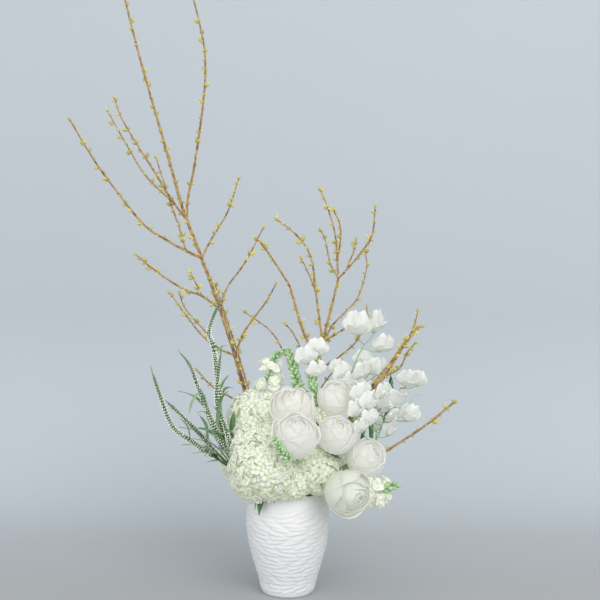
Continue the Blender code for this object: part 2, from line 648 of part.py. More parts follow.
def forsythia(name, trunk, twigs):
    """A bare branch with its twigs, and buds on alternate sides of all of them."""
    mouth, thick, thin, way = trunk
    places = [seen(place) for place in way]
    pieces = [stem(name, mouth, places, thick, tip=thin, rounding=1)]
    runs = [way]
    lines = [(along(places, TWIG_STEP), thick, thin)]
    for (run, spot), radius, depth, flat in twigs:
        root = runs[run][spot]
        step = (depth - root[2]) / len(flat)
        bent = [(across, up, root[2] + step * (i + 1)) for i, (across, up) in enumerate(flat)]
        runs.append(bent)
        points = along([seen(place) for place in [root] + bent], TWIG_STEP)
        pieces.append(tube(points, [radius, radius * TWIG_TIP]))
        lines.append((points, radius, radius * TWIG_TIP))
    turn = 0
    for points, thick, thin in lines:
        length = sum((b - a).length for a, b in zip(points, points[1:]))
        count = round(length / BUD_SPACING)
        for i in range(count):
            share = (i + FIRST_BUD) / count
            spot, heading = at_share(points, share)
            turn += GOLDEN
            out = (side_of(heading, turn) + heading * BUD_LEAN).normalized()
            radius = thick + (thin - thick) * share
            root = spot + out * (BARK_SHARE * radius - BUD_ROOT)
            pieces.append(bud(facing(root, out), BUD_LENGTH, BUD_RADIUS, 3))
    fused(name, pieces, BARK)


clear_scene()
ARRANGEMENT = bpy.data.collections.new("flower_arrangement")
bpy.context.scene.collection.children.link(ARRANGEMENT)
CERAMIC = material("white ceramic", (0.86, 0.86, 0.87), 0.6)
WATER = material("water", (0.75, 0.84, 0.84), 0.05)
GREEN = material("green stem", (0.22, 0.36, 0.12), 0.55)
FRESH = material("fresh green bud", (0.45, 0.66, 0.3), 0.5)
SAGE = material("sage green", (0.34, 0.48, 0.27), 0.6)
CREAM = material("cream floret", (0.9, 0.9, 0.74), 0.6)
WHITE = material("white petal", (0.94, 0.93, 0.9), 0.6)
BARK = material("orange bark", (0.5, 0.3, 0.12), 0.7)
STEMS = {}
HOLES = []

vase()
for number, row in enumerate(HYDRANGEAS, 1):
    hydrangea(number, *row)
for number, row in enumerate(ROSES, 1):
    rose(number, *row)
for number, row in enumerate(SNAPDRAGONS, 1):
    snapdragon(number, *row)
for number, row in enumerate(VERONICAS, 1):
    veronica(number, *row)
for number, row in enumerate(SWEET_PEAS, 1):
    sweet_pea(number, *row)
forsythia("forsythia_tall", TALL_TRUNK, TALL_TWIGS)
forsythia("forsythia_middle", MIDDLE_TRUNK, MIDDLE_TWIGS)
forsythia("forsythia_right", RIGHT_TRUNK, RIGHT_TWIGS)
forsythia("forsythia_low", LOW_TRUNK, [])
water()
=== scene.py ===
"""Looks of a tall white and green flower arrangement in a carved ceramic vase.

Pieces are modelled in millimetres, and put in the frame in metres. The front looks along -y. A place is
(across, up, depth): where the front view shows it on the plane of the vase's axis, and how far behind that
plane it lies.
"""

import math
import random

import bpy
import numpy as np
from mathutils import Matrix, Vector


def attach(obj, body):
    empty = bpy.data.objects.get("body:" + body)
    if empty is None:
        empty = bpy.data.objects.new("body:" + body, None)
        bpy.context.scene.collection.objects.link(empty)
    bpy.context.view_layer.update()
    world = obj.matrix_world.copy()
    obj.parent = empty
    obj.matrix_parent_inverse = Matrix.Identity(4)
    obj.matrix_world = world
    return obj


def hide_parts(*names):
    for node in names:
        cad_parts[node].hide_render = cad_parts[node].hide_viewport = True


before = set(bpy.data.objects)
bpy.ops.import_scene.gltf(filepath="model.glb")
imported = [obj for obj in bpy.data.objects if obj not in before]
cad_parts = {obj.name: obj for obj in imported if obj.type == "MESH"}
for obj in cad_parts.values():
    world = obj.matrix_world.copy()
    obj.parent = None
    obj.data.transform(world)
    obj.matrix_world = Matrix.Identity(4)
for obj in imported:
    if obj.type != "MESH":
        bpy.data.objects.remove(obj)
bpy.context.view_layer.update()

MM = 0.001
EYE = Vector((22, -2300, 760))  # the eye that the front view's places are sighted from
EYE_TILT = 5.71  # degrees that it looks down
EYE_LENS = 78  # on a sensor of EYE_SENSOR
EYE_SENSOR = 36
GOLDEN = math.radians(137.508)
TURN = 2 * math.pi

# Vase
VASE_AROUND = 340
VASE_STEP = 1.05  # between two rings of its carved wall
VASE_WALL = 5
VASE_FLOOR = 7
RIM_HEIGHT = 187
RIM_EDGE = 2
RIM_STEPS = 10  # points over the rim's rounded edge
VASE_FOOT = 45
FOOT_EDGE = ((2.2, 2.4), (1, 0.8))  # points on its rounded edge, out from the foot and up
VASE_OUTSIDE = [(5, 48), (27, 52.5), (46, 58.5), (84, 68.5), (110, 73), (132, 74.8), (150, 73), (168, 70),
                (184, 66)]
VASE_INSIDE = (16, 46, 84, 110, 136)  # heights where the inside wall bends
CARVED = (4, 174)  # from height to height
CARVED_FADE = (5, 22)  # heights over which the strokes fade in and out
CARVED_SKIN = 1.5  # what lies less deep than this under the outside is carved
STROKE_RELIEF = 1.4  # how far a carved stroke stands out
STROKE_ROW = 8  # from one row of strokes to the next
STROKE_LENGTH = 36
STROKE_GIRTH = 73  # the wall's radius where strokes have that length
STROKE_REACH = 0.62  # how far it reaches over and under its middle, in rows
STROKES_ROUND = 13
STROKE_LEAN = 0.22  # its steepest climb or fall
LEAN_TURN = 47  # height over which the leans swing there and back

# Stems stand straight in the water, with their feet closer together than in the mouth
FOOT_SPREAD = 0.63
FOOT_HEIGHT = 9.5
SHOULDER = 0.66  # share of the way up to the mouth where they start to bend
STEM_STEP = 80  # the leaves' shares are counted on points that far apart
CALYX_LENGTH = 9  # how far a stem widens under its head
CALYX_WIDENING = (1.3, 1.9)  # in radii of the stem, there and at its end

# Heads: middle, radius, the way it faces, its stem's place in the mouth, and places on the stem's way
HYDRANGEAS = [
    ((-58, 317, 14), 50, (-0.4, -0.35, 0.85), (-24, 7), [(-22, 245, 4)]),
    ((-46, 225, -78), 58, (-0.3, -0.8, 0.5), (-26, -26), []),
    ((51, 218, -53), 39, (0.2, -0.8, 0.5), (26, -31), []),
    ((67, 253, 68), 46, (0.35, 0.75, 0.55), (29, 33), []),
    ((-83, 240, 52), 41, (-0.75, 0.45, 0.5), (-40, 28), []),
    ((-12, 246, 100), 38, (-0.1, 0.85, 0.5), (6, 46), []),
]
HYDRANGEA_LOBES = {  # smaller rounds that break a head's outline: place and radius
    1: [((-70, 276, -14), 36), ((-34, 330, -10), 32)],
    2: [((4, 199, -70), 31), ((-30, 274, -50), 32), ((-62, 197, -74), 33), ((-66, 262, -52), 36)],
    3: [((22, 193, -64), 20), ((34, 250, -44), 26), ((52, 306, -14), 30)],
    4: [((50, 285, 44), 30), ((92, 216, 46), 24), ((38, 222, 84), 22)],
    5: [((-64, 286, 34), 30), ((-84, 210, 34), 24), ((-52, 214, 74), 24)],
    6: [((-36, 268, 84), 24), ((10, 282, 76), 28), ((16, 222, 92), 22)],
}
GREENER_HEADS = (3,)
HYDRANGEA_STEM = 3
HYDRANGEA_BACK = 0.48  # in radii, from a head's middle back to its stem's end
HYDRANGEA_INSIDE = 0.89  # in radii, the leafy inside that the florets stand on
UNDERSIDE = -0.94  # in radii, the height under which a ball has no florets
LOBE_OVERLAP = 7  # how deep inside another ball florets are left out
FLORET_SIZE = 9.6  # half width
FLORET_SPACE = 145  # square millimetres of a head's surface to a floret
FLORET_LAYERS = ((1.0, 1.0), (0.9, 0.5))  # a layer's radius, in radii of the ball, and how full it is
ROSES = [
    ((9, 333, -27), 42, (-0.05, -0.6, 0.8), (0, -6), [(3, 240, -2)]),
    ((15, 284, -106), 42, (0.05, -0.95, 0.3), (11, -18), [(21, 232, -24)]),
    ((85, 352, -2), 35, (0.4, -0.55, 0.75), (20, -4), [(42, 260, -2)]),
    ((86, 286, -60), 37, (0.3, -0.85, 0.4), (36, -9), [(58, 240, -6)]),
    ((140, 243, -26), 37, (0.6, -0.75, 0.25), (50, -7), [(88, 218, -6)]),
    ((107, 182, -98), 43, (0.45, -0.75, -0.45), (43, -25), [(62, 191, -29), (82, 180, -51)]),
]
ROSE_HEARTS = {  # where the hearts of those that nod from their stems face
    2: (0, -0.6, 0.8), 4: (0.15, -0.6, 0.75), 5: (0.5, -0.65, 0.55), 6: (0.6, -0.75, -0.1)}
ROSE_FULL = {1: 1.08, 2: 1.02, 6: 1.02}  # how much wider than their ball the fullest ones open
# roses whose petals are a little greener, and also painted darker with less glow than the others as painted
# shade
GREENER_ROSES_IN_PAINTED_SHADE = (6,)
ROSE_BACK = 0.62  # in radii, from a bloom's middle back to its stem's end
ROSE_PETALS = 32
ROSE_STRAY = 0.13  # how far a petal strays from the heart's direction
ROSE_STEM = 2.6
SEPAL_LENGTH = 0.7  # in radii of the bloom
SEPAL_WIDTH = 3.4
SEPAL_ARCH = -0.2

# Spikes: place in the mouth, places up the stem, share of the stem's length where the flowers start
SNAPDRAGONS = [
    ((-9, 24), [(-2, 240, 34), (-8, 330, 54), (-28, 362, 62), (-33, 395, 56), (-22, 428, 48),
                (-4, 441, 42)], 0.6),
    ((2, 13), [(8, 250, 20), (15, 340, 30), (17, 375, 28), (10, 410, 24), (2, 441, 22)], 0.74),
    ((20, 11), [(42, 250, 10), (57, 335, 14), (50, 365, 12), (38, 396, 8)], 0.74),
    ((11, -39), [(11, 226, -31), (15, 245, -50), (18, 238, -90), (12, 236, -124), (-12, 256, -140),
                 (-23, 281, -142)], 0.82),
    ((51, -18), [(72, 197, -22), (118, 190, -30), (157, 185, -36), (180, 190, -38), (193, 196, -38)], 0.56),
]
WHITE_SPIKES = (1, 5)  # those that have open florets low down
WHITE_SHARE = 0.72  # how far up such a spike they open
WHITE_SPACING = 2.1  # stem length to a floret or bud of theirs
GREEN_SPACING = 1.5  # and of the others
SPIKE_FULL = {4: 0.75, 5: 1.3}  # how much larger the florets and buds of a spike are
SNAP_STEM = (2.4, 1)  # radii at a stem's foot and tip
VERONICAS = [
    ((-53, -6), [(-104, 226, -6), (-176, 277, -10), (-208, 304, -12), (-232, 368, -14),
                 (-246, 413, -12)], 0.46),
    ((-50, 7), [(-98, 236, 6), (-131, 295, 14), (-162, 377, 18), (-175, 413, 20), (-196, 440, 22)], 0.45),
    ((-42, 11), [(-84, 236, 2), (-114, 300, 10), (-131, 437, 14), (-140, 476, 12), (-114, 543, 4)], 0.56),
    ((-44, -7), [(-86, 238, -14), (-114, 290, -20), (-127, 350, -24), (-124, 400, -22),
                 (-117, 449, -18)], 0.46),
    ((-55, 4), [(-110, 236, 2), (-160, 290, 6), (-194, 325, 10), (-220, 350, 14)], 0.62),
    ((-46, -17), [(-92, 240, -26), (-126, 290, -34), (-146, 340, -38), (-156, 372, -38)], 0.5),
]
SIDE_SPIKES = {  # shorter spikes that fork from a stem
    2: [(-120, 262, 6), (-142, 318, -4), (-150, 362, -8)],
    4: [(-98, 258, -16), (-112, 300, -34), (-126, 338, -40)],
    6: [(-100, 252, -28), (-108, 284, -46), (-116, 312, -54)],
}
VERONICA_STEM = 1.7
SPIKE_THICK = 2.7  # the radius that a spike's core gains towards its foot
SIDE_THICK = 2.4  # and a side spike's
SIDE_BARE = 3  # points at a side spike's foot that have no buds
GREEN_TIP = (0.66, 0.86)  # shares of a spike between which its buds turn green
BUD_ROW = 4.8  # from one ring of a spike's buds to the next

# Sweet pea sprays: place in the mouth, places up the stem, and the blossoms' places and half widths
SWEET_PEAS = [
    ((33, 18), [(46, 250, 18), (52, 330, 30), (50, 385, 24), (48, 408, 20)],
     [((38, 416, 8), 17), ((53, 429, 26), 17), ((51, 393, 6), 16)]),
    ((42, 22), [(70, 255, 12), (98, 330, 40), (117, 408, 30), (136, 450, 32)],
     [((124, 468, 18), 22), ((154, 472, 44), 21), ((164, 438, 30), 17)]),
    ((44, 11), [(84, 240, 10), (112, 300, 30), (124, 350, 34), (126, 378, 30)],
     [((106, 386, 40), 17), ((131, 388, 14), 18), ((160, 396, 40), 16), ((141, 358, 26), 16),
      ((126, 336, 48), 18), ((126, 295, 14), 18), ((122, 318, 22), 16), ((178, 398, 46), 13),
      ((118, 372, 14), 16), ((146, 398, 30), 15), ((92, 396, 60), 15), ((134, 412, 50), 15)]),
    ((53, 4), [(104, 224, 6), (150, 262, 14), (172, 310, 16), (188, 350, 14), (202, 372, 14)],
     [((183, 336, -8), 22), ((212, 376, -4), 18), ((231, 376, 26), 14), ((169, 327, 0), 16),
      ((159, 294, 34), 17), ((214, 312, -4), 17), ((189, 314, -10), 17), ((180, 286, 20), 15),
      ((134, 352, -26), 17), ((126, 322, -34), 16), ((148, 334, -30), 17), ((148, 304, -30), 16),
      ((134, 292, -40), 14), ((198, 350, 20), 15), ((170, 354, -22), 15)]),
]
PEA_SIZE = 1.28  # how much larger than those half widths the blossoms are made
PEA_DROOP = 14  # how far under a blossom its stalk leaves the stem
PEA_STEM = (1.8, 1.2)  # radii at a stem's foot and tip, and those of stalks and tendrils
PEA_STALK = (1, 0.9)
PEA_TENDRIL = (1, 0.5)
PEA_TENDRILS = {
    3: [[(124, 330, 34), (140, 336, 10), (152, 330, -6), (166, 334, -12)]],
    4: [[(172, 330, 14), (182, 342, -14), (194, 336, -22), (212, 338, -20), (226, 356, -16),
         (236, 360, -12)],
        [(176, 346, 12), (190, 368, -4), (186, 384, -8), (196, 392, -2)]],
}

# Narrow leaves of a stem: share of its length where the leaf grows, the tip's place, and half width
LEAVES = {
    "hydrangea_2": [(0.64, (-52, 139, -70), 8)],
    "veronica_1": [(0.42, (-146, 236, -44), 5), (0.46, (-190, 268, 24), 5)],
    "veronica_2": [(0.5, (-176, 300, 50), 5), (0.62, (-196, 366, 40), 4)],
    "veronica_3": [(0.6, (-98, 372, 52), 4)],
    "veronica_4": [(0.5, (-96, 330, -56), 5)],
    "veronica_5": [(0.6, (-196, 300, -10), 4)],
    "veronica_6": [(0.5, (-170, 300, -60), 5)],
}
# More of them, each from the place on the stem that is nearest to its root
MORE_LEAVES = {
    "hydrangea_2": [((-34, 186, -60), (-24, 160, -84), 4), ((-34, 186, -60), (-60, 148, -66), 3),
                    ((-30, 205, -40), (-17, 240, -118), 5), ((-30, 205, -40), (2, 215, -112), 4)],
    "hydrangea_3": [((42, 200, -44), (62, 189, -98), 5)],
    "rose_4": [((58, 240, -6), (97, 240, -62), 5), ((58, 240, -6), (51, 312, -72), 4)],
    "sweet_pea_3": [((118, 325, 34), (110, 360, -4), 4)],
    "sweet_pea_4": [((130, 246, 12), (168, 334, -16), 5), ((150, 262, 14), (150, 322, -12), 4),
                    ((172, 310, 16), (204, 350, -14), 4), ((186, 346, 14), (184, 396, -6), 4)],
    "veronica_1": [((-106, 236, -6), (-168, 266, -30), 4), ((-106, 236, -6), (-156, 256, -20), 4),
                   ((-178, 282, -10), (-196, 318, -24), 3), ((-130, 252, -8), (-172, 252, -14), 3)],
    "veronica_2": [((-156, 362, 17), (-177, 324, -10), 3), ((-112, 262, 8), (-140, 318, -20), 4)],
    "veronica_3": [((-120, 350, 10), (-104, 396, -6), 3.5), ((-126, 430, 12), (-108, 448, 34), 3)],
    "veronica_4": [((-104, 262, -16), (-134, 287, -50), 7), ((-104, 262, -16), (-121, 290, -54), 6),
                   ((-122, 330, -22), (-106, 366, -46), 4), ((-92, 248, -14), (-113, 300, -66), 4),
                   ((-110, 284, -20), (-136, 340, -50), 3.5)],
    "veronica_5": [((-118, 246, 2), (-150, 248, -8), 4), ((-146, 275, 5), (-160, 324, -14), 4),
                   ((-104, 232, 0), (-176, 280, -34), 4), ((-126, 258, 4), (-158, 262, -24), 3.5)],
    "veronica_6": [((-94, 242, -26), (-146, 262, -60), 4), ((-94, 242, -26), (-132, 258, -64), 5),
                   ((-110, 268, -30), (-149, 296, -70), 4), ((-124, 288, -34), (-120, 346, -66), 3.5),
                   ((-140, 320, -36), (-164, 326, -64), 3)],
}

# Forsythia branches. The trunk has a place in the mouth, its radius there and at its tip, and its places.
# A twig has its root (run, place on that run), its radius, its tip's depth, and (across, up) places.
TALL_TRUNK = ((-9, 44), 4.4, 1.4, [
    (-28, 226, 60), (-64, 330, 83), (-80, 379, 88), (-94, 430, 90), (-120, 513, 88), (-152, 604, 84),
    (-178, 672, 80), (-190, 709, 78), (-214, 798, 73), (-255, 945, 64), (-282, 1054, 58), (-298, 1128, 54)])
TALL_TWIGS = [
    ((0, 6), 2.2, 20, [(-176, 709), (-163, 772), (-146, 890), (-144, 960), (-152, 1010), (-163, 1054),
                       (-178, 1105)]),
    ((0, 6), 2, 150, [(-199, 700), (-232, 753), (-287, 843), (-303, 885)]),
    ((2, 0), 1.6, 50, [(-248, 748), (-281, 801), (-315, 863)]),
    ((0, 5), 2.2, 10, [(-180, 618), (-211, 635), (-256, 666), (-320, 748), (-353, 798), (-381, 847)]),
    ((4, 0), 1.6, 130, [(-194, 667), (-207, 703), (-231, 781)]),
    ((0, 5), 1.8, 140, [(-135, 638), (-106, 686), (-86, 745)]),
    ((0, 4), 2, 10, [(-152, 537), (-186, 550), (-234, 582), (-268, 610)]),
    ((7, 0), 1.4, 70, [(-162, 558), (-172, 579)]),
    ((0, 4), 1.8, 150, [(-107, 553), (-76, 596), (-43, 658)]),
    ((0, 3), 1.8, 160, [(-125, 444), (-153, 467), (-178, 499), (-209, 542)]),
    ((10, 0), 1.6, 60, [(-144, 470), (-181, 513), (-192, 541)]),
    ((0, 3), 2, 40, [(-79, 470), (-53, 507), (-36, 530), (-21, 559)]),
    ((0, 1), 1.8, 60, [(-94, 350), (-128, 370), (-145, 384), (-162, 404)]),
    ((0, 0), 2.2, 92, [(-54, 330), (-72, 376), (-88, 432), (-110, 500), (-128, 556)]),
    ((13, 0), 1.4, 70, [(-50, 352), (-44, 366)]),
]
MIDDLE_TRUNK = ((15, 26), 3.8, 2, [
    (24, 250, 44), (42, 340, 60), (52, 400, 66), (62, 453, 64), (81, 530, 58), (90, 569, 55)])
MIDDLE_TWIGS = [
    ((0, 2), 2.4, 10, [(43, 437), (26, 478), (9, 536), (1, 559), (-39, 621), (-56, 640)]),
    ((0, 2), 1.6, 110, [(30, 432), (10, 470), (-4, 487)]),
    ((0, 1), 1.8, 110, [(20, 385), (-7, 437), (-31, 475), (-74, 507)]),
    ((0, 5), 2, 80, [(88, 600), (84, 648), (69, 699), (58, 724)]),
    ((4, 0), 1.6, 20, [(94, 640), (92, 665), (82, 689)]),
    ((0, 5), 1.6, 100, [(76, 594), (67, 635), (59, 653)]),
    ((0, 5), 2, 10, [(104, 583), (128, 612), (149, 644), (155, 695)]),
    ((7, 0), 1.4, 90, [(117, 617), (121, 637)]),
    ((0, 3), 1.8, 120, [(81, 486), (103, 509), (125, 535), (140, 585), (138, 613)]),
    ((0, 3), 1.6, 120, [(84, 468), (105, 481)]),
    ((0, 2), 1.8, 110, [(72, 415), (93, 429), (123, 457), (140, 497), (141, 515)]),
    ((0, 1), 1.6, 100, [(67, 383), (89, 410)]),
    ((0, 3), 2, 96, [(56, 500), (50, 545), (46, 583), (38, 614), (22, 639), (4, 656), (-18, 672)]),
    ((13, 1), 1.4, 110, [(38, 575), (25, 603)]),
]
RIGHT_TRUNK = ((33, 2), 3.8, 2.4, [
    (60, 232, 2), (100, 300, 2), (156, 375, -4), (172, 392, -6), (201, 439, -8), (218, 464, -10),
    (235, 482, -10)])
RIGHT_TWIGS = [
    ((0, 5), 1.8, 20, [(228, 493), (231, 510)]),
    ((0, 3), 2, -50, [(200, 408), (213, 435), (227, 452)]),
    ((0, 1), 2, -14, [(152, 378), (176, 408), (206, 450), (222, 474)]),
]
LOW_TRUNK = ((53, 15), 3.2, 1.8, [
    (70, 208, 18), (110, 222, 20), (167, 251, 24), (232, 293, 28), (259, 313, 30), (296, 344, 30)])
BRANCHES = {"forsythia_tall": (TALL_TRUNK, TALL_TWIGS), "forsythia_middle": (MIDDLE_TRUNK, MIDDLE_TWIGS),
            "forsythia_right": (RIGHT_TRUNK, RIGHT_TWIGS), "forsythia_low": (LOW_TRUNK, [])}
TWIG_TIP = 0.6  # a twig's radius at its tip, in radii of its root
BUD_SPACING = 15  # from one pair of buds to the next
BUD_CHANCE = 0.75  # of each bud of a pair
BARE_FOOT = 12  # how many spacings at a trunk's foot have no buds

# Stage in millimetres, and light in metres
FLOOR_FRONT = -2600
FLOOR_WIDTH = 6400
FLOOR_GAP = 0.4  # how far the floor lies under the vase's foot
SWEEP_START = 380
SWEEP_RADIUS = 420
SWEEP_STEPS = 12
WALL_TOP = 2600
# the wall's paper colour, and the flat floor's, which is darker as painted shade
WALL_COLOUR = (0.478, 0.52, 0.555, 1)
SHADED_FLOOR_COLOUR = (0.385, 0.395, 0.4, 1)
SKY_COLOUR = (0.83, 0.845, 0.865, 1)
SKY_STRENGTH = 1.15
LAMPS = [  # name, place, power and colour
    ("key light", (1.3, -2.6, 2.1), 46, (1, 0.985, 0.96)),
    ("fill light", (-1.6, -2.8, 0.6), 22, (0.97, 0.985, 1)),
]
LAMP_SIZE = 2.6
LIT_PLACE = (0, 0, 0.4)  # what the lamps point at


def seen(place):
    """The real place of (across, up, depth)."""
    across, up, depth = place
    return EYE + (Vector((across, 0, up)) - EYE) * ((depth - EYE.y) / -EYE.y)


def along(points, step):
    """Points about a step apart on a smooth curve through the given ones."""
    ends = [points[0] * 2 - points[1]] + points + [points[-1] * 2 - points[-2]]
    smooth = []
    for before, start, end, after in zip(ends, ends[1:], ends[2:], ends[3:]):
        pieces = max(1, round((end - start).length / step))
        for i in range(pieces):
            t = i / pieces
            bend = (2 * before - 5 * start + 4 * end - after) * t**2
            twist = (3 * start - before - 3 * end + after) * t**3
            smooth.append((2 * start + (end - before) * t + bend + twist) / 2)
    return smooth + [points[-1]]


def facing(place, direction, turn=0.0, size=1.0):
    """Stands a shape at a place with its own +Z along a direction."""
    stand = Vector(direction).to_track_quat("Z", "Y").to_matrix().to_4x4()
    return Matrix.Translation(place) @ stand @ Matrix.Rotation(turn, 4, "Z") @ Matrix.Scale(size, 4)


def stood(place, up, front, size=1.0):
    """Stands a shape at a place with its own +Z up and its +Y towards the front."""
    up = up.normalized()
    side = front.cross(up).normalized()
    turn = Matrix((side, up.cross(side), up)).transposed().to_4x4()
    return Matrix.Translation(place) @ turn @ Matrix.Scale(size, 4)


def side_of(heading, turn):
    """A direction square to the heading, turned round it."""
    return facing(Vector(), heading, turn).to_3x3() @ Vector((1, 0, 0))


def strayed(direction, amount, draw):
    return direction + Vector([draw.uniform(-amount, amount) for _ in range(3)])


def at_share(points, share):
    """The place and heading at a share of the way along the points."""
    spot = share * (len(points) - 1)
    i = min(int(spot), len(points) - 2)
    step = points[i + 1] - points[i]
    return points[i] + step * (spot - i), step.normalized()


def length_of(points):
    return sum((end - start).length for start, end in zip(points, points[1:]))


def nearest(points, place):
    return min(points, key=lambda point: (point - place).length)


def sized(count, start, end):
    """Radii from one end's to the other's."""
    return [start + (end - start) * i / (count - 1) for i in range(count)]


# Shapes are arrays of places, corners, faces' first corners and chart, so that one can be copied many times

def linked(name, data):
    """An object that is the only one chosen."""
    obj = bpy.data.objects.new(name, data)
    bpy.context.scene.collection.objects.link(obj)
    bpy.ops.object.select_all(action="DESELECT")
    obj.select_set(True)
    bpy.context.view_layer.objects.active = obj
    return obj


def shape_of(obj):
    """The object's mesh as a shape. The object goes."""
    mesh = obj.data
    places = np.empty(len(mesh.vertices) * 3)
    corners = np.empty(len(mesh.loops), int)
    starts = np.empty(len(mesh.polygons), int)
    chart = np.zeros(len(mesh.loops) * 2)
    mesh.vertices.foreach_get("co", places)
    mesh.loops.foreach_get("vertex_index", corners)
    mesh.polygons.foreach_get("loop_start", starts)
    if mesh.uv_layers:
        mesh.uv_layers[0].uv.foreach_get("vector", chart)
    bpy.data.objects.remove(obj)
    bpy.data.meshes.remove(mesh)
    return places.reshape(-1, 3), corners, starts, chart


def joined(copies):
    """Several shapes, each with its matrix, as one shape."""
    places, corners, starts, charts = [], [], [], []
    first_place = first_corner = 0
    for (own_places, own_corners, own_starts, chart), matrix in copies:
        turn = np.array(matrix)
        places.append(own_places @ turn[:3, :3].T + turn[:3, 3])
        corners.append(own_corners + first_place)
        starts.append(own_starts + first_corner)
        charts.append(chart)
        first_place += len(own_places)
        first_corner += len(own_corners)
    return tuple(np.concatenate(part) for part in (places, corners, starts, charts))


def gathered(name, copies, look, slot, *nodes):
    """One piece, if there are copies of shapes for it, each with its matrix and its tint from 0 to 1."""
    if not copies:
        return
    places, corners, starts, chart = joined([(shape, matrix) for shape, matrix, _ in copies])
    mesh = bpy.data.meshes.new(name)
    mesh.vertices.add(len(places))
    mesh.loops.add(len(corners))
    mesh.polygons.add(len(starts))
    mesh.vertices.foreach_set("co", places.ravel() * MM)
    mesh.loops.foreach_set("vertex_index", corners)
    mesh.polygons.foreach_set("loop_start", starts)
    mesh.uv_layers.new(name="UVMap").uv.foreach_set("vector", chart)
    tints = np.concatenate([np.full(len(shape[0]), tint) for shape, _, tint in copies])
    mesh.attributes.new("tint", "FLOAT", "POINT").data.foreach_set("value", tints)
    mesh.update(calc_edges=True)
    mesh.validate()
    mesh.shade_smooth()
    piece = linked(name, mesh)
    mesh.materials.append(look)
    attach(piece, "root")
    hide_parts(*nodes)


def blade(across, along_it, place_of, thickness):
    """A petal or leaf. place_of gives a point from a share across, -1 to 1, and along, 0 to 1."""
    bpy.ops.object.select_all(action="DESELECT")
    bpy.ops.mesh.primitive_grid_add(x_subdivisions=across, y_subdivisions=along_it, size=2)
    sheet = bpy.context.object
    for vert in sheet.data.vertices:
        vert.co = place_of(vert.co.x, (vert.co.y + 1) / 2)
    skin = sheet.modifiers.new("Thickness", "SOLIDIFY")
    skin.thickness = thickness
    skin.offset = 0
    bpy.ops.object.modifier_apply(modifier="Thickness")
    return shape_of(sheet)


def swelling(share, start, span, power=1.0):
    """How wide a petal is at a share of its length, as a stretch of a half wave from start on."""
    return math.sin(math.pi * (start + span * share)) ** power


def peak(across, sharpness):
    """1 in a petal's middle, and falling off to both sides."""
    return math.exp(-((sharpness * across) ** 2))


def bead(around, rings, length, radius, widest=0.4, point=1.0):
    """A bud with its foot on the origin and its tip on +Z. widest is the share of its length where it has
    its radius, and point over 1 makes its tip sharper."""
    bpy.ops.object.select_all(action="DESELECT")
    bpy.ops.mesh.primitive_uv_sphere_add(segments=around, ring_count=rings, radius=1)
    ball = bpy.context.object
    bend = math.log(0.5) / math.log(widest)
    for vert in ball.data.vertices:
        rise = (vert.co.z + 1) / 2
        side = math.hypot(vert.co.x, vert.co.y)
        if side:
            bulge = math.sin(math.pi * rise**bend)
            reach = radius * bulge ** (0.7 if rise < widest else point)
            vert.co.x *= reach / side
            vert.co.y *= reach / side
        vert.co.z = rise * length
    return shape_of(ball)


def tubes(runs):
    """Round stems as one shape. Each run is its points and a radius at each of them."""
    curve = bpy.data.curves.new("stems", "CURVE")
    curve.dimensions = "3D"
    curve.bevel_depth = 1
    curve.bevel_resolution = 2
    curve.use_fill_caps = True
    for points, radii in runs:
        spline = curve.splines.new("POLY")
        spline.points.add(len(points) - 1)
        for spot, point, radius in zip(spline.points, points, radii):
            spot.co = (*point, 1)
            spot.radius = radius
    linked("stems", curve)
    bpy.ops.object.convert(target="MESH")
    bpy.ops.object.mode_set(mode="EDIT")
    bpy.ops.mesh.select_all(action="SELECT")
    bpy.ops.mesh.remove_doubles(threshold=1e-4)
    bpy.ops.object.mode_set(mode="OBJECT")
    return shape_of(bpy.context.object)


# Materials

COLOUR, NUMBER = "NodeSocketColor", "NodeSocketFloat"
WHITE = (1, 1, 1, 1)


def group(name, inputs, outputs):
    """A shader node group with its own input and output nodes."""
    tree = bpy.data.node_groups.new(name, "ShaderNodeTree")
    for label, kind, value in inputs:
        socket = tree.interface.new_socket(label, in_out="INPUT", socket_type=kind)
        socket.default_value = value
    for label, kind in outputs:
        tree.interface.new_socket(label, in_out="OUTPUT", socket_type=kind)
    return tree, tree.nodes.new("NodeGroupInput").outputs, tree.nodes.new("NodeGroupOutput").inputs


def feed(tree, value, socket):
    if isinstance(value, bpy.types.NodeSocket):
        tree.links.new(value, socket)
    else:
        socket.default_value = value


def mixed(tree, share, low, high):
    """A colour between two others."""
    mix = tree.nodes.new("ShaderNodeMix")
    mix.data_type = "RGBA"
    feed(tree, share, mix.inputs[0])
    feed(tree, low, mix.inputs[6])
    feed(tree, high, mix.inputs[7])
    return mix.outputs[2]


def sums(tree, operation, first, second=0.0, clamp=False):
    made = tree.nodes.new("ShaderNodeMath")
    made.operation = operation
    made.use_clamp = clamp
    feed(tree, first, made.inputs[0])
    feed(tree, second, made.inputs[1])
    return made.outputs[0]


def step(tree, value, low, high):
    """0 under low, 1 over high, and smooth between."""
    made = tree.nodes.new("ShaderNodeMapRange")
    made.interpolation_type = "SMOOTHSTEP"
    feed(tree, value, made.inputs[0])
    feed(tree, low, made.inputs[1])
    feed(tree, high, made.inputs[2])
    return made.outputs[0]


def noise_of(tree, scale, detail=3.0, stretch=None, source="Object"):
    """Noise over the piece, which a stretch draws out along an axis."""
    place = tree.nodes.new("ShaderNodeTexCoord").outputs[source]
    if stretch:
        mapping = tree.nodes.new("ShaderNodeMapping")
        tree.links.new(place, mapping.inputs["Vector"])
        mapping.inputs["Scale"].default_value = stretch
        place = mapping.outputs[0]
    made = tree.nodes.new("ShaderNodeTexNoise")
    feed(tree, place, made.inputs["Vector"])
    feed(tree, scale, made.inputs["Scale"])
    made.inputs["Detail"].default_value = detail
    return made.outputs[0]


def own_tint(tree):
    own = tree.nodes.new("ShaderNodeAttribute")
    own.attribute_name = "tint"
    return own.outputs["Fac"]


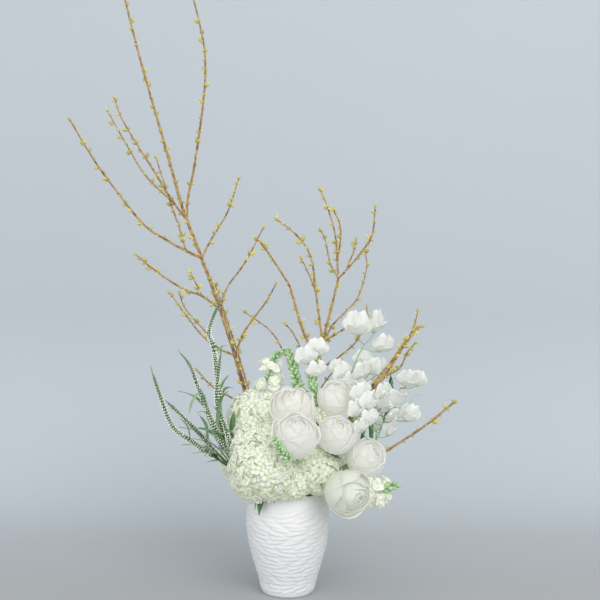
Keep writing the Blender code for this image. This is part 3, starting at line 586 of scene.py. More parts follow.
def petal_shade():
    """Colour from a petal's foot to its lip, with its own tint, faint veins and mottling."""
    tree, given, out = group("Petal shade", [
        ("Foot", COLOUR, WHITE), ("Middle", COLOUR, WHITE), ("Lip", COLOUR, WHITE), ("Shade", COLOUR, WHITE),
        ("Tinting", NUMBER, 0.5), ("Foot share", NUMBER, 0.35), ("Veins", NUMBER, 30)],
        [("Colour", COLOUR), ("Height", NUMBER)])
    chart = tree.nodes.new("ShaderNodeSeparateXYZ")
    tree.links.new(tree.nodes.new("ShaderNodeTexCoord").outputs["UV"], chart.inputs[0])
    rise = chart.outputs[1]
    low = mixed(tree, step(tree, rise, 0.02, given["Foot share"]), given["Foot"], given["Middle"])
    whole = mixed(tree, step(tree, rise, 0.55, 1.0), low, given["Lip"])
    patches = sums(tree, "MULTIPLY", own_tint(tree), noise_of(tree, 90))
    amount = sums(tree, "MULTIPLY", given["Tinting"], patches)
    whole = mixed(tree, sums(tree, "MULTIPLY", amount, 2.0, True), whole, given["Shade"])
    veins = noise_of(tree, given["Veins"], 2.0, (1, 0.06, 1), "UV")
    tree.links.new(mixed(tree, sums(tree, "MULTIPLY", veins, 0.12), whole, given["Shade"]), out["Colour"])
    tree.links.new(veins, out["Height"])
    return tree


def mottle():
    """Two colours in patches over the piece, with its own tint, and their height."""
    tree, given, out = group("Mottle", [
        ("Light", COLOUR, WHITE), ("Dark", COLOUR, WHITE), ("Scale", NUMBER, 60), ("Fine", NUMBER, 600),
        ("Low", NUMBER, 0.25), ("High", NUMBER, 0.75)], [("Colour", COLOUR), ("Height", NUMBER)])
    broad = noise_of(tree, given["Scale"])
    fine = noise_of(tree, given["Fine"], 4.0)
    own = sums(tree, "MULTIPLY", own_tint(tree), 0.4)
    share = sums(tree, "ADD", sums(tree, "MULTIPLY", broad, 0.6), own)
    dark = step(tree, share, given["Low"], given["High"])
    tree.links.new(mixed(tree, dark, given["Light"], given["Dark"]), out["Colour"])
    tree.links.new(fine, out["Height"])
    return tree


def material(name, roughness, shade, bump, reach=0.0005, painted_glow=0.0, **values):
    """A Principled material fed by one of the groups, with the group's values. Its glow is painted light:
    the surface emits its own colour, which lifts its shade in creases and on its dark side, in place of the
    light that thin petals let through."""
    look = bpy.data.materials.new(name)
    look.use_nodes = True
    tree = look.node_tree
    shader = tree.nodes["Principled BSDF"]
    shader.inputs["Roughness"].default_value = roughness
    shader.inputs["Emission Strength"].default_value = painted_glow
    made = tree.nodes.new("ShaderNodeGroup")
    made.node_tree = shade
    for label, value in values.items():
        setting = (*value, 1) if isinstance(value, tuple) else value
        made.inputs[label.replace("_", " ")].default_value = setting
    tree.links.new(made.outputs["Colour"], shader.inputs["Base Color"])
    tree.links.new(made.outputs["Colour"], shader.inputs["Emission Color"])
    relief = tree.nodes.new("ShaderNodeBump")
    relief.inputs["Strength"].default_value = bump
    relief.inputs["Distance"].default_value = reach
    tree.links.new(made.outputs["Height"], relief.inputs["Height"])
    tree.links.new(relief.outputs[0], shader.inputs["Normal"])
    return look


# Vase

def vase_radius(height):
    heights, radii = zip(*VASE_OUTSIDE)
    return float(np.interp(height, heights, radii))


def carved(around, height):
    """How far the wall stands out, from 0 to 1: the proudest of the leaf-shaped strokes over each place. A
    stroke is steep under its lower edge, fades upwards, and leans to one side or the other. Each has
    its own stray, a number from 0 to 1, so that no two are alike."""
    rise = np.zeros_like(height)
    girth = np.interp(height, *zip(*VASE_OUTSIDE))
    for up in (-1, 0, 1):
        row = np.floor(height / STROKE_ROW) + up
        shift = 0.5 * (row % 2) + 0.2 * np.sin(2.4 * row)
        for over in (-1, 0, 1):
            number = np.floor(STROKES_ROUND * around / TURN + shift) + over
            stray = np.sin(12.99 * row + 78.23 * (number % STROKES_ROUND)) * 437.58
            stray -= np.floor(stray)
            spot = TURN * (number + 0.5 - shift) / STROKES_ROUND
            swing = np.sin(TURN * row * STROKE_ROW / LEAN_TURN)
            lean = STROKE_LEAN * (np.sin(2 * (spot + math.pi / 2) + 0.2 + 1.1 * swing) + 0.5 * (stray - 0.5))
            beside = (around - spot) * girth
            over_it = height - (row + 0.45 + 0.3 * stray) * STROKE_ROW - lean * beside
            share = 2 * beside / (STROKE_LENGTH * girth / STROKE_GIRTH * (0.8 + 0.35 * stray))
            width = np.clip(1 - share**4, 0, 1) ** 0.5
            level = over_it / (STROKE_REACH * STROKE_ROW * np.maximum(width, 0.05))
            slope = np.where(level < -0.5, (level + 1) / 0.5, (1 - level) / 1.5)
            rise = np.maximum(rise, width * np.clip(slope, 0, 1) * (share**2 < 1))
    ends = (height - CARVED[0]) / CARVED_FADE[0], (CARVED[1] - height) / CARVED_FADE[1]
    return rise * np.clip(ends[0], 0, 1) * np.clip(ends[1], 0, 1)


def vase():
    """A turned wall with a smooth collar, carved with rows of strokes under it."""
    profile = [(0, VASE_FLOOR), (vase_radius(VASE_FLOOR) - 2 * VASE_WALL, VASE_FLOOR)]
    profile += [(vase_radius(height) - VASE_WALL, height) for height in VASE_INSIDE]
    shoulder = RIM_HEIGHT - RIM_EDGE
    middle = vase_radius(RIM_HEIGHT) - VASE_WALL / 2
    for i in range(RIM_STEPS):
        turn = math.pi * (1 - i / (RIM_STEPS - 1))
        profile.append((middle + VASE_WALL / 2 * math.cos(turn), shoulder + RIM_EDGE * math.sin(turn)))
    outside = along([Vector((radius, 0, height)) for height, radius in VASE_OUTSIDE[:-1]], VASE_STEP)
    profile += [(point.x, point.z) for point in outside[::-1]]
    profile += [(VASE_FOOT + out, up) for out, up in FOOT_EDGE] + [(VASE_FOOT, 0), (0, 0)]
    mesh = bpy.data.meshes.new("profile")
    steps = [(i, i + 1) for i in range(len(profile) - 1)]
    mesh.from_pydata([(radius, 0, height) for radius, height in profile], steps, [])
    wall = linked("vase", mesh)
    screw = wall.modifiers.new("Turn", "SCREW")
    screw.steps = screw.render_steps = VASE_AROUND
    screw.use_merge_vertices = True
    screw.merge_threshold = 1e-3
    bpy.ops.object.modifier_apply(modifier="Turn")
    places, corners, starts, chart = shape_of(wall)
    x, y, z = places.T
    radius = np.hypot(x, y)
    outer = radius > np.interp(z, *zip(*VASE_OUTSIDE)) - CARVED_SKIN
    swell = 1 + STROKE_RELIEF * carved(np.arctan2(y, x), z) * outer / np.maximum(radius, 1)
    places[:, :2] *= swell[:, None]
    wall = (places, corners, starts, chart)
    gathered("carved_vase", [(wall, Matrix(), 0.3)], CERAMIC, "vase_glaze", "vase")


# Stems and leaves

def stem_way(mouth, way, fine=8):
    """The points of a stem from its foot through the mouth and the places above it."""
    lip = Vector((*mouth, RIM_HEIGHT))
    foot = Vector((mouth[0] * FOOT_SPREAD, mouth[1] * FOOT_SPREAD, FOOT_HEIGHT))
    shoulder = foot.lerp(lip, SHOULDER)
    return [foot] + along([shoulder, lip] + way, fine)


def lance(length, half_width, arch=0.14):
    """A lance leaf along +Z that arches towards +Y, folded along its rib and a little waved."""
    def place_of(across, share):
        width = half_width * (0.2 + 0.8 * swelling(share, 0.1, 0.84))
        rise = arch * length * math.sin(math.pi * share) + 0.3 * width * abs(across)
        rise += 0.12 * half_width * math.sin(9 * share + 2 * across) * abs(across)
        tip = max(0.0, share - 0.8) / 0.2
        return Vector((width * across * (1 - 0.85 * tip), rise, length * share))

    return blade(4, 12, place_of, 0.5)


def leaves_on(name, mouth, way):
    """The leaves of a stem: those that its node has, and smaller ones between them."""
    coarse = stem_way(mouth, way, STEM_STEP)
    fine = stem_way(mouth, way)
    rows = [(at_share(coarse, share)[0], tip, wide) for share, tip, wide in LEAVES.get(name, [])]
    rows += [(nearest(fine, seen(root)), tip, wide) for root, tip, wide in MORE_LEAVES.get(name, [])]
    copies = []
    for i, (root, tip, half_width) in enumerate(rows):
        reach = seen(tip) - root
        copies.append((lance(reach.length, half_width), facing(root, reach), 0.15 + 0.35 * (i % 3)))
    return copies


def head_stem(name, middle, direction, back, mouth, way, thickness):
    """A stem that widens under a head, with its leaves."""
    end = middle - direction * back
    neck = end - direction * CALYX_LENGTH
    way = [seen(place) for place in way] + [neck, end]
    points = stem_way(mouth, way)
    radii = [thickness] * (len(points) - 2) + [wider * thickness for wider in CALYX_WIDENING]
    gathered(name + "_stalk", [(tubes([(points, radii)]), Matrix(), 0.4)], STEM_GREEN, "green_stem",
             name + "_stem")
    gathered(name + "_leaves", leaves_on(name, mouth, way), LEAF_GREEN, "green_stem", name + "_stem")


# Hydrangeas

def floret(draw):
    """Four broad rounded petals round a small bead, of half width 1."""
    copies = []
    for i in range(4):
        cup = draw.uniform(0.1, 0.45)
        roll = draw.uniform(-0.2, 0.2)
        width = draw.uniform(0.54, 0.62)

        def place_of(across, share):
            half = width * swelling(share, 0.1, 0.78, 0.7)
            rise = cup * share - 0.6 * cup * share**2 + roll * across * share
            return Vector((half * across, 0.05 + 0.92 * share - 0.1 * across**2 * share, rise))

        turn = i * TURN / 4 + draw.uniform(-0.12, 0.12)
        copies.append((blade(2, 3, place_of, 0.06), Matrix.Rotation(turn, 4, "Z")))
    copies.append((bead(4, 3, length=0.22, radius=0.13), Matrix()))
    return joined(copies)


def ball_of_florets(middle, radius, direction, draw, others):
    """Florets all over a ball but its underside and where another ball hides them, in two layers."""
    copies = []
    stand = facing(middle, direction)
    for layer, spread in FLORET_LAYERS:
        count = round(4 * math.pi * (radius * layer) ** 2 * spread / FLORET_SPACE)
        for i in range(count):
            height = 1 - 2 * (i + 0.5) / count
            if height < UNDERSIDE:
                continue
            around = i * GOLDEN + draw.uniform(-0.4, 0.4)
            level = math.sqrt(1 - height**2)
            normal = Vector((level * math.cos(around), level * math.sin(around), height))
            place = stand @ (normal * (radius * layer - draw.uniform(0.5, 4)))
            if any((place - other).length < reach - LOBE_OVERLAP for other, reach in others):
                continue
            out = strayed(stand.to_3x3() @ normal, 0.32, draw)
            size = FLORET_SIZE * draw.uniform(0.8, 1.15)
            copies.append((draw.choice(FLORETS), facing(place, out, draw.uniform(0, TURN), size),
                           draw.random()))
    return copies


def hydrangea(number, place, radius, direction, mouth, way):
    """A dense head of four-petalled florets over its leafy inside, with smaller rounds at its edges."""
    name = f"hydrangea_{number}"
    middle, direction = seen(place), Vector(direction).normalized()
    head_stem(name, middle, direction, HYDRANGEA_BACK * radius, mouth, way, HYDRANGEA_STEM)
    draw = random.Random(number)
    balls = [(middle, radius)] + [(seen(spot), size) for spot, size in HYDRANGEA_LOBES[number]]
    florets, insides = [], []
    for i, (centre, size) in enumerate(balls):
        florets += ball_of_florets(centre, size, direction, draw, balls[:i] + balls[i + 1:])
        reach = HYDRANGEA_INSIDE * size
        ball = bead(24, 14, length=2 * reach, radius=reach, widest=0.5)
        insides.append((ball, facing(centre - direction * reach, direction), 0.5))
    look = GREENISH if number in GREENER_HEADS else CREAM
    gathered(name + "_florets", florets, look, "hydrangea_floret", name + "_head")
    gathered(name + "_inside", insides, INNER, "hydrangea_floret", name + "_head")


# Roses

def rose_petal(radius, age, draw):
    """A cupped petal on a shell round the bloom's middle. age runs from 0 at the heart to 1 outside."""
    guard = max(0.0, age - 0.7) / 0.3
    shell = radius * (0.12 + 0.8 * age**0.7) * draw.uniform(0.96, 1.04)
    tall = radius * (0.8 + 0.14 * age)
    foot = math.radians(150)
    lip = math.radians(8 + 46 * age**1.1 + 20 * guard + draw.uniform(-14, 14) * age)
    flare = draw.uniform(0.02, 0.2) * guard
    half_width = math.radians(80 - 14 * age)
    curl = radius * (0.012 + 0.035 * age**2) * draw.uniform(0.7, 1.3)
    roll = math.radians(draw.uniform(90, 150))
    ruffle = draw.uniform(0.02, 0.045) * (1 + 0.7 * guard)
    phase = draw.uniform(0, TURN)
    point = draw.uniform(-0.04 + 0.1 * guard, 0.06 + 0.26 * guard)

    def place_of(across, share):
        rise = min(1.0, share / 0.75)
        polar = foot + (lip - point * peak(across, 3) - foot) * rise
        polar += (0.14 + 0.42 * age) * across**2 * rise**3
        around = half_width * across * (0.6 + 0.4 * swelling(rise, 0.1, 0.5))
        reach = 1 + flare * rise**2.5 - 0.03 * across**2 * rise
        reach += ruffle * math.sin(6 * across + phase) * rise**3
        over = max(0.0, share - 0.75) / 0.25 * roll
        own = curl * (1 + 0.4 * math.sin(5 * across + 2 * phase)) * (1 - 0.5 * across**2)
        out, on = own * (1 - math.cos(over)), own * math.sin(over)
        level = shell * reach * math.sin(polar) + out * math.sin(polar) - on * math.cos(polar)
        height = tall * reach * math.cos(polar) + out * math.cos(polar) + on * math.sin(polar)
        return Vector((level * math.cos(around), level * math.sin(around), height))

    return blade(9, 12, place_of, 0.4)


def rose(number, place, radius, direction, mouth, way):
    """Petals that wrap round each other, closed over the heart and looser outside."""
    name = f"rose_{number}"
    middle, direction = seen(place), Vector(direction).normalized()
    head_stem(name, middle, direction, ROSE_BACK * radius, mouth, way, ROSE_STEM)
    draw = random.Random(number)
    heart = Vector(ROSE_HEARTS.get(number, direction)).normalized()
    petals = []
    for i in range(ROSE_PETALS):
        age = (i + 0.5) / ROSE_PETALS
        matrix = facing(middle, strayed(heart, ROSE_STRAY, draw), i * GOLDEN + draw.uniform(-0.3, 0.3))
        petals.append((rose_petal(ROSE_FULL.get(number, 1) * radius, age, draw), matrix, draw.random()))
    look = ROSE_GREENER_IN_PAINTED_SHADE if number in GREENER_ROSES_IN_PAINTED_SHADE else ROSE_WHITE
    gathered(name + "_petals", petals, look, "rose_petal", name + "_bloom")
    root = middle - direction * ROSE_BACK * radius
    sepals = []
    for i in range(5):
        out = side_of(direction, i * TURN / 5) + direction * 0.5
        sepal = lance(SEPAL_LENGTH * radius, SEPAL_WIDTH, SEPAL_ARCH)
        sepals.append((sepal, facing(root, out), 0.5))
    gathered(name + "_sepals", sepals, LEAF_GREEN, "green_stem", name + "_bloom")


# Spikes

def snap_floret(draw):
    """A plump tube that opens into rounded lobes."""
    copies = [(bead(8, 6, length=14, radius=3.9, widest=0.66, point=0.6), Matrix())]
    for i in range(5):
        length = draw.uniform(6, 9.5)
        lean = draw.uniform(0.55, 0.95)

        def place_of(across, share):
            half = 4.4 * swelling(share, 0.2, 0.62, 0.7)
            out = 1.5 + length * lean * share**1.2 - across**2
            return Vector((half * across, out, 9.5 + length * (0.85 * share - 0.4 * share**2)))

        copies.append((blade(3, 5, place_of, 0.4), Matrix.Rotation(i * TURN / 5, 4, "Z")))
    return joined(copies)


def snapdragon(number, mouth, way, start):
    """A spike: open florets low down, then buds that get smaller towards the tip."""
    name = f"snapdragon_{number}"
    points = stem_way(mouth, [seen(place) for place in way], 6)
    draw = random.Random(number)
    florets, buds = [], []
    white = number in WHITE_SPIKES
    spike = points[round(start * (len(points) - 1)):]
    full = SPIKE_FULL.get(number, 1)
    count = round(length_of(spike) / (WHITE_SPACING if white else GREEN_SPACING))
    for i in range(count):
        age = i / count
        spot, heading = at_share(spike, age)
        side = side_of(heading, i * GOLDEN)
        turn = draw.uniform(0, TURN)
        if white and age < WHITE_SHARE and i % 3:
            out = strayed(side + heading * draw.uniform(0.3, 1.3), 0.25, draw)
            place = facing(spot + side * draw.uniform(2, 12), out, turn, (1.7 - 0.8 * age) * full)
            florets.append((draw.choice(SNAP_FLORETS), place, draw.random()))
        else:
            out = strayed(side + heading * (0.5 + 0.8 * age), 0.25, draw)
            size = (2.1 - age) * full * draw.uniform(0.75, 1.15)
            buds.append((GREEN_BUD, facing(spot + side, out, turn, size), draw.random()))
    stalk = tubes([(points, sized(len(points), *SNAP_STEM))])
    gathered(name + "_stalk", [(stalk, Matrix(), 0.3)], STEM_GREEN, "green_stem", name)
    gathered(name + "_buds", buds, FRESH, "fresh_bud", name)
    gathered(name + "_florets", florets, SNAP_WHITE, "fresh_bud", name)


def veronica_floret(draw):
    """A tiny open floret: a short tube, four lobes and two long stamens."""
    copies = [(bead(4, 3, length=3, radius=1), Matrix())]
    for i in range(4):
        def place_of(across, share):
            return Vector((0.9 * across * (1 - 0.4 * share), 0.5 + 1.6 * share, 2.5 + 0.9 * share))

        copies.append((blade(1, 1, place_of, 0.3), Matrix.Rotation(i * TURN / 4, 4, "Z")))
    for i in range(2):
        lean = Matrix.Rotation(draw.uniform(0.3, 0.6) * (2 * i - 1), 4, "X")
        copies.append((bead(3, 3, length=5.6, radius=0.35, widest=0.7), lean))
    return joined(copies)


def core_of(age, thickest):
    """The radius of a spike's dark core, from its foot to its tapered tip."""
    return 0.3 + (1.1 + thickest * (1 - age) ** 0.7) * min(1, 6 * (1 - age))


def spike_of_buds(points, thickest, draw, florets, buds):
    """Rings of buds set half a step on from each other, with open florets among the lower ones."""
    rows = round(length_of(points) / BUD_ROW)
    for row in range(rows):
        age = row / rows
        spot, heading = at_share(points, 0.97 * age)
        core = core_of(age, thickest)
        green = min(1.0, max(0.0, (age - GREEN_TIP[0]) / (GREEN_TIP[1] - GREEN_TIP[0])))
        around = max(4, round(TURN * (core + 2) / BUD_ROW))
        for i in range(around):
            side = side_of(heading, TURN * (i + 0.5 * (row % 2)) / around + 0.2 * math.sin(row / 3))
            out = strayed(side + heading * (0.1 + 3 * age**6), 0.1, draw)
            size = (0.8 + 0.1 * core) * draw.uniform(0.85, 1.15)
            place = facing(spot + side * core * 0.7, out, 0, size)
            if draw.random() < 0.4 - 1.2 * age:
                florets.append((draw.choice(VERONICA_FLORETS), place, draw.random()))
            else:
                buds.append((VERONICA_BUD, place, green))


def veronica(number, mouth, way, start):
    """A long spike set all round with tiny buds and florets, green at its tip, over narrow leaves."""
    name = f"veronica_{number}"
    places = [seen(place) for place in way]
    points = stem_way(mouth, places, 6)
    draw = random.Random(number)
    florets, buds = [], []
    bare = round(start * (len(points) - 1))
    spike_of_buds(points[bare:], SPIKE_THICK, draw, florets, buds)
    shares = [i / (len(points) - 1) for i in range(len(points))]
    ages = [(share - start) / (1 - start) for share in shares]
    runs = [(points, [core_of(age, SPIKE_THICK) if age > 0 else VERONICA_STEM for age in ages])]
    if number in SIDE_SPIKES:
        fork = [seen(place) for place in SIDE_SPIKES[number]]
        fork = along([nearest(points, fork[0])] + fork[1:], 5)
        spike_of_buds(fork[SIDE_BARE:], SIDE_THICK, draw, florets, buds)
        runs.append((fork, [core_of(i / (len(fork) - 1), SIDE_THICK) for i in range(len(fork))]))
    gathered(name + "_stalk", [(tubes(runs), Matrix(), 0.5)], SPIKE_STEM, "green_stem", name)
    gathered(name + "_leaves", leaves_on(name, mouth, places), SAGE_LEAF, "veronica_spike", name)
    gathered(name + "_buds", buds, SAGE, "veronica_spike", name)
    gathered(name + "_florets", florets, SPIKE_WHITE, "veronica_spike", name)


# Sweet peas

def pea_standard(draw):
    """The broad back petal of a blossom of half width 1, creased down its middle and waved at its lip."""
    phase = draw.uniform(0, TURN)
    wave = draw.uniform(0.1, 0.2)
    back = draw.uniform(-0.15, 0.25)
    crease = draw.uniform(0.12, 0.3)

    def place_of(across, share):
        width = 0.14 + 0.9 * swelling(share, 0.04, 0.7, 0.75)
        notch = 0.24 * peak(across, 4.5) * share**4
        rise = 1.7 * share * (1 - 0.4 * across**2) - notch
        rise += 0.07 * math.sin(10 * across + 3 * phase) * share**4
        near_lip = max(share, abs(across) * 0.9) ** 3 * share
        fold = -back * across**2 * share - 0.3 * back * share**3
        fold += crease * peak(across, 3.2) * share * (1.25 - share)
        fold += wave * math.sin(7 * across + phase + 2 * share) * near_lip
        fold += 0.5 * wave * math.sin(14 * across + 2 * phase - 3 * share) * near_lip
        return Vector((width * across, fold, rise))

    return blade(18, 9, place_of, 0.02)


def pea_wing(side, draw):
    """One of the two rounded petals that lean out in front of the broad one."""
    phase = draw.uniform(0, TURN)
    spread = draw.uniform(0.15, 0.45)
    lean = draw.uniform(0.35, 0.7)

    def place_of(across, share):
        half = 0.42 * swelling(share, 0.08, 0.74, 0.7)
        out = 0.08 + lean * share - 0.22 * across**2 * share
        out += 0.1 * math.sin(5 * across + phase) * share**3
        rise = 0.95 * share * (1 - 0.25 * across**2) - 0.2 * lean * share**2
        return Vector((side * (spread * share + half * across), out, rise))

    return blade(8, 7, place_of, 0.02)


def pea_blossom(draw):
    keel = bead(8, 6, length=0.7, radius=0.13, widest=0.55)
    petals = [pea_standard(draw), pea_wing(1, draw), pea_wing(-1, draw)]
    return joined([(petal, Matrix()) for petal in petals] + [(keel, Matrix.Translation((0, 0.12, 0)))])


def sweet_pea(number, mouth, way, blossoms):
    """A spray: a stem, and a ruffled blossom in its green cup on a short stalk at each of its places."""
    name = f"sweet_pea_{number}"
    places = [seen(place) for place in way]
    points = stem_way(mouth, places)
    draw = random.Random(number)
    runs = [(points, sized(len(points), *PEA_STEM))]
    petals, cups = [], []
    for place, size in blossoms:
        foot = seen(place)
        joint = nearest(points[len(points) // 2:], foot - Vector((0, 0, PEA_DROOP)))
        up = strayed(Vector((0, -0.1, 1)) + (foot - joint).normalized() / 2, 0.3, draw)
        front = strayed(Vector((foot.x / 400, -1, 0.15)), 0.6, draw)
        stalk = along([joint, joint.lerp(foot, 0.6) - Vector((0, 0, 3)), foot], 4)
        runs.append((stalk, sized(len(stalk), *PEA_STALK)))
        petals.append((draw.choice(PEA_BLOSSOMS), stood(foot, up, front, PEA_SIZE * size), draw.random()))
        cups.append((PEA_CUP, facing(foot - up.normalized() * 3, up), 0.2))
    for tendril in PEA_TENDRILS.get(number, []):
        line = [seen(place) for place in tendril]
        curl = along([nearest(points, line[0])] + line[1:], 3)
        runs.append((curl, sized(len(curl), *PEA_TENDRIL)))
    gathered(name + "_stalks", [(tubes(runs), Matrix(), 0.2)] + cups, PEA_GREEN, "green_stem", name)
    gathered(name + "_petals", petals, PEA_WHITE, "pea_petal", name)
    gathered(name + "_leaves", leaves_on(name, mouth, places), LEAF_GREEN, "green_stem", name)


# Forsythia

def bark_radii(points, thick, thin, draw):
    """Radii along a branch, uneven and swelling at each pair of buds."""
    radii = []
    walked = 0.0
    for i, point in enumerate(points):
        walked += (point - points[max(0, i - 1)]).length
        swell = max(0.0, math.cos(TURN * walked / BUD_SPACING)) ** 8
        taper = thick + (thin - thick) * i / (len(points) - 1)
        radii.append(taper * (1 + 0.3 * swell) * draw.uniform(0.9, 1.08))
    return radii


def forsythia_bud(draw):
    """A plump pointed bud with smaller ones beside it, its foot on the origin."""
    copies = [(bead(6, 4, length=10, radius=2.8, widest=0.42, point=1.2), Matrix())]
    for i in range(draw.choice((1, 2, 2))):
        lean = Matrix.Rotation(draw.uniform(0.4, 0.9), 4, "X")
        small = bead(5, 3, length=draw.uniform(6, 8.5), radius=2.2, widest=0.42, point=1.2)
        copies.append((small, Matrix.Rotation(i * 2.6, 4, "Z") @ lean))
    return joined(copies)


def buds_along(points, radii, bare, draw):
    """Pairs of buds from a bare foot on, each pair square to the last, and one bud at the tip."""
    buds = []
    walked = 0.0
    due = bare
    turn = draw.uniform(0, TURN)
    for i in range(1, len(points)):
        walked += (points[i] - points[i - 1]).length
        if walked < due:
            continue
        due += BUD_SPACING * draw.uniform(0.8, 1.25)
        turn += math.pi / 2
        heading = (points[i] - points[i - 1]).normalized()
        for side in range(2):
            if draw.random() < BUD_CHANCE:
                out = side_of(heading, turn + side * math.pi) + heading * draw.uniform(0.5, 1.1)
                place = points[i] + out.normalized() * radii[i] * 0.6
                bud = draw.choice(FORSYTHIA_BUDS)
                stand = facing(place, out, draw.uniform(0, TURN), 0.55 + 0.85 * draw.random() ** 2)
                buds.append((bud, stand, draw.random()))
    heading = (points[-1] - points[-2]).normalized()
    buds.append((FORSYTHIA_BUDS[0], facing(points[-1] - heading, heading), draw.random()))
    return buds


def forsythia(name, trunk, twigs):
    """A bare branch with its twigs, and pairs of plump buds along all of them."""
    mouth, thick, thin, way = trunk
    draw = random.Random(name)
    lines = [(stem_way(mouth, [seen(place) for place in way], 4), thick, thin)]
    runs = [way]
    for (run, spot), radius, depth, flat in twigs:
        root = runs[run][spot]
        share = (depth - root[2]) / len(flat)
        bent = [(across, up, root[2] + share * (i + 1)) for i, (across, up) in enumerate(flat)]
        runs.append(bent)
        lines.append((along([seen(place) for place in [root] + bent], 4), radius, radius * TWIG_TIP))
    barks, buds = [], []
    for number, (points, thick, thin) in enumerate(lines):
        radii = bark_radii(points, thick, thin, draw)
        barks.append((points, radii))
        buds += buds_along(points, radii, BUD_SPACING * (1 if number else BARE_FOOT), draw)
    gathered(name + "_bark", [(tubes(barks), Matrix(), 0.3)], BARK, "forsythia_bark", name)
    gathered(name + "_buds", buds, BUD_YELLOW, "forsythia_bark", name)


# Stage, light and camera

def stage():
    """A pale floor that sweeps up behind the vase. Where it lies flat its paper is painted darker than the
    wall, as painted shade.
    """
    profile = [(FLOOR_FRONT, 0), (SWEEP_START, 0)]
    for i in range(1, SWEEP_STEPS + 1):
        turn = math.pi / 2 * i / SWEEP_STEPS
        profile.append((SWEEP_START + SWEEP_RADIUS * math.sin(turn), SWEEP_RADIUS * (1 - math.cos(turn))))
    profile.append((SWEEP_START + SWEEP_RADIUS, WALL_TOP))
    mesh = bpy.data.meshes.new("studio_floor")
    sides = (-FLOOR_WIDTH / 2, FLOOR_WIDTH / 2)
    points = [(x * MM, y * MM, (z - FLOOR_GAP) * MM) for y, z in profile for x in sides]
    faces = [(2 * i, 2 * i + 1, 2 * i + 3, 2 * i + 2) for i in range(len(profile) - 1)]
    mesh.from_pydata(points, [], faces)
    floor = linked("studio_floor", mesh)
    mesh.shade_smooth()
    look = bpy.data.materials.new("studio paper")
    look.use_nodes = True
    tree = look.node_tree
    shader = tree.nodes["Principled BSDF"]
    shader.inputs["Roughness"].default_value = 0.95
    place = tree.nodes.new("ShaderNodeSeparateXYZ")
    tree.links.new(tree.nodes.new("ShaderNodeTexCoord").outputs["Object"], place.inputs[0])
    wall = mixed(tree, noise_of(tree, 1.2, 2.0), WALL_COLOUR, [1.04 * part for part in WALL_COLOUR])
    # painted shade: the paper is coloured darker where it lies flat
    paper = mixed(tree, step(tree, place.outputs[1], -0.1, 0.78), SHADED_FLOOR_COLOUR, wall)
    tree.links.new(paper, shader.inputs["Base Color"])
    through = tree.nodes.new("ShaderNodeBsdfTransparent")
    mix = tree.nodes.new("ShaderNodeMixShader")
    tree.links.new(tree.nodes.new("ShaderNodeNewGeometry").outputs["Backfacing"], mix.inputs[0])
    tree.links.new(shader.outputs[0], mix.inputs[1])
    tree.links.new(through.outputs[0], mix.inputs[2])
    tree.links.new(mix.outputs[0], tree.nodes["Material Output"].inputs["Surface"])
    mesh.materials.append(look)


def lamp(name, place, power, colour):
    light = bpy.data.lights.new(name, "AREA")
    light.shape = "DISK"
    light.size = LAMP_SIZE
    light.energy = power
    light.color = colour
    lamp_object = linked(name, light)
    lamp_object.location = place
    lamp_object.rotation_euler = (Vector(LIT_PLACE) - Vector(place)).to_track_quat("-Z", "Y").to_euler()


def studio():
    world = bpy.data.worlds.new("studio")
    bpy.context.scene.world = world
    world.use_nodes = True
    sky = world.node_tree.nodes["Background"]
    sky.inputs["Color"].default_value = SKY_COLOUR
    sky.inputs["Strength"].default_value = SKY_STRENGTH
    for row in LAMPS:
        lamp(*row)
    camera = bpy.data.cameras.new("front view")
    camera.lens = EYE_LENS
    camera.sensor_width = EYE_SENSOR
    viewer = linked("front view", camera)
    viewer.location = EYE * MM
    viewer.rotation_euler = (math.radians(90 - EYE_TILT), 0, 0)
    bpy.context.scene.camera = viewer
    bpy.context.scene.view_settings.view_transform = "Standard"


PETAL = petal_shade()
MOTTLE = mottle()
CERAMIC = material("white carved ceramic", 0.45, MOTTLE, 0.1, 0.0003, Light=(0.79, 0.785, 0.785),
                   Dark=(0.75, 0.748, 0.755), Scale=22, Fine=900)
STEM_GREEN = material("green stem", 0.5, MOTTLE, 0.2, Light=(0.3, 0.45, 0.16), Dark=(0.16, 0.3, 0.1),
                      Scale=50, Fine=700)
PEA_GREEN = material("sage-green pea stalk", 0.5, MOTTLE, 0.2, Light=(0.32, 0.5, 0.28),
                     Dark=(0.2, 0.38, 0.2), Scale=50, Fine=700)
LEAF_GREEN = material("dark green leaf", 0.45, PETAL, 0.3, Foot=(0.06, 0.15, 0.04),
                      Middle=(0.035, 0.11, 0.03), Lip=(0.08, 0.2, 0.06), Shade=(0.16, 0.32, 0.12),
                      Tinting=0.9, Veins=14)
SAGE_LEAF = material("sage-green leaf", 0.5, PETAL, 0.3, Foot=(0.12, 0.24, 0.09), Middle=(0.1, 0.22, 0.09),
                     Lip=(0.2, 0.36, 0.17), Shade=(0.28, 0.46, 0.24), Tinting=0.9, Veins=14)
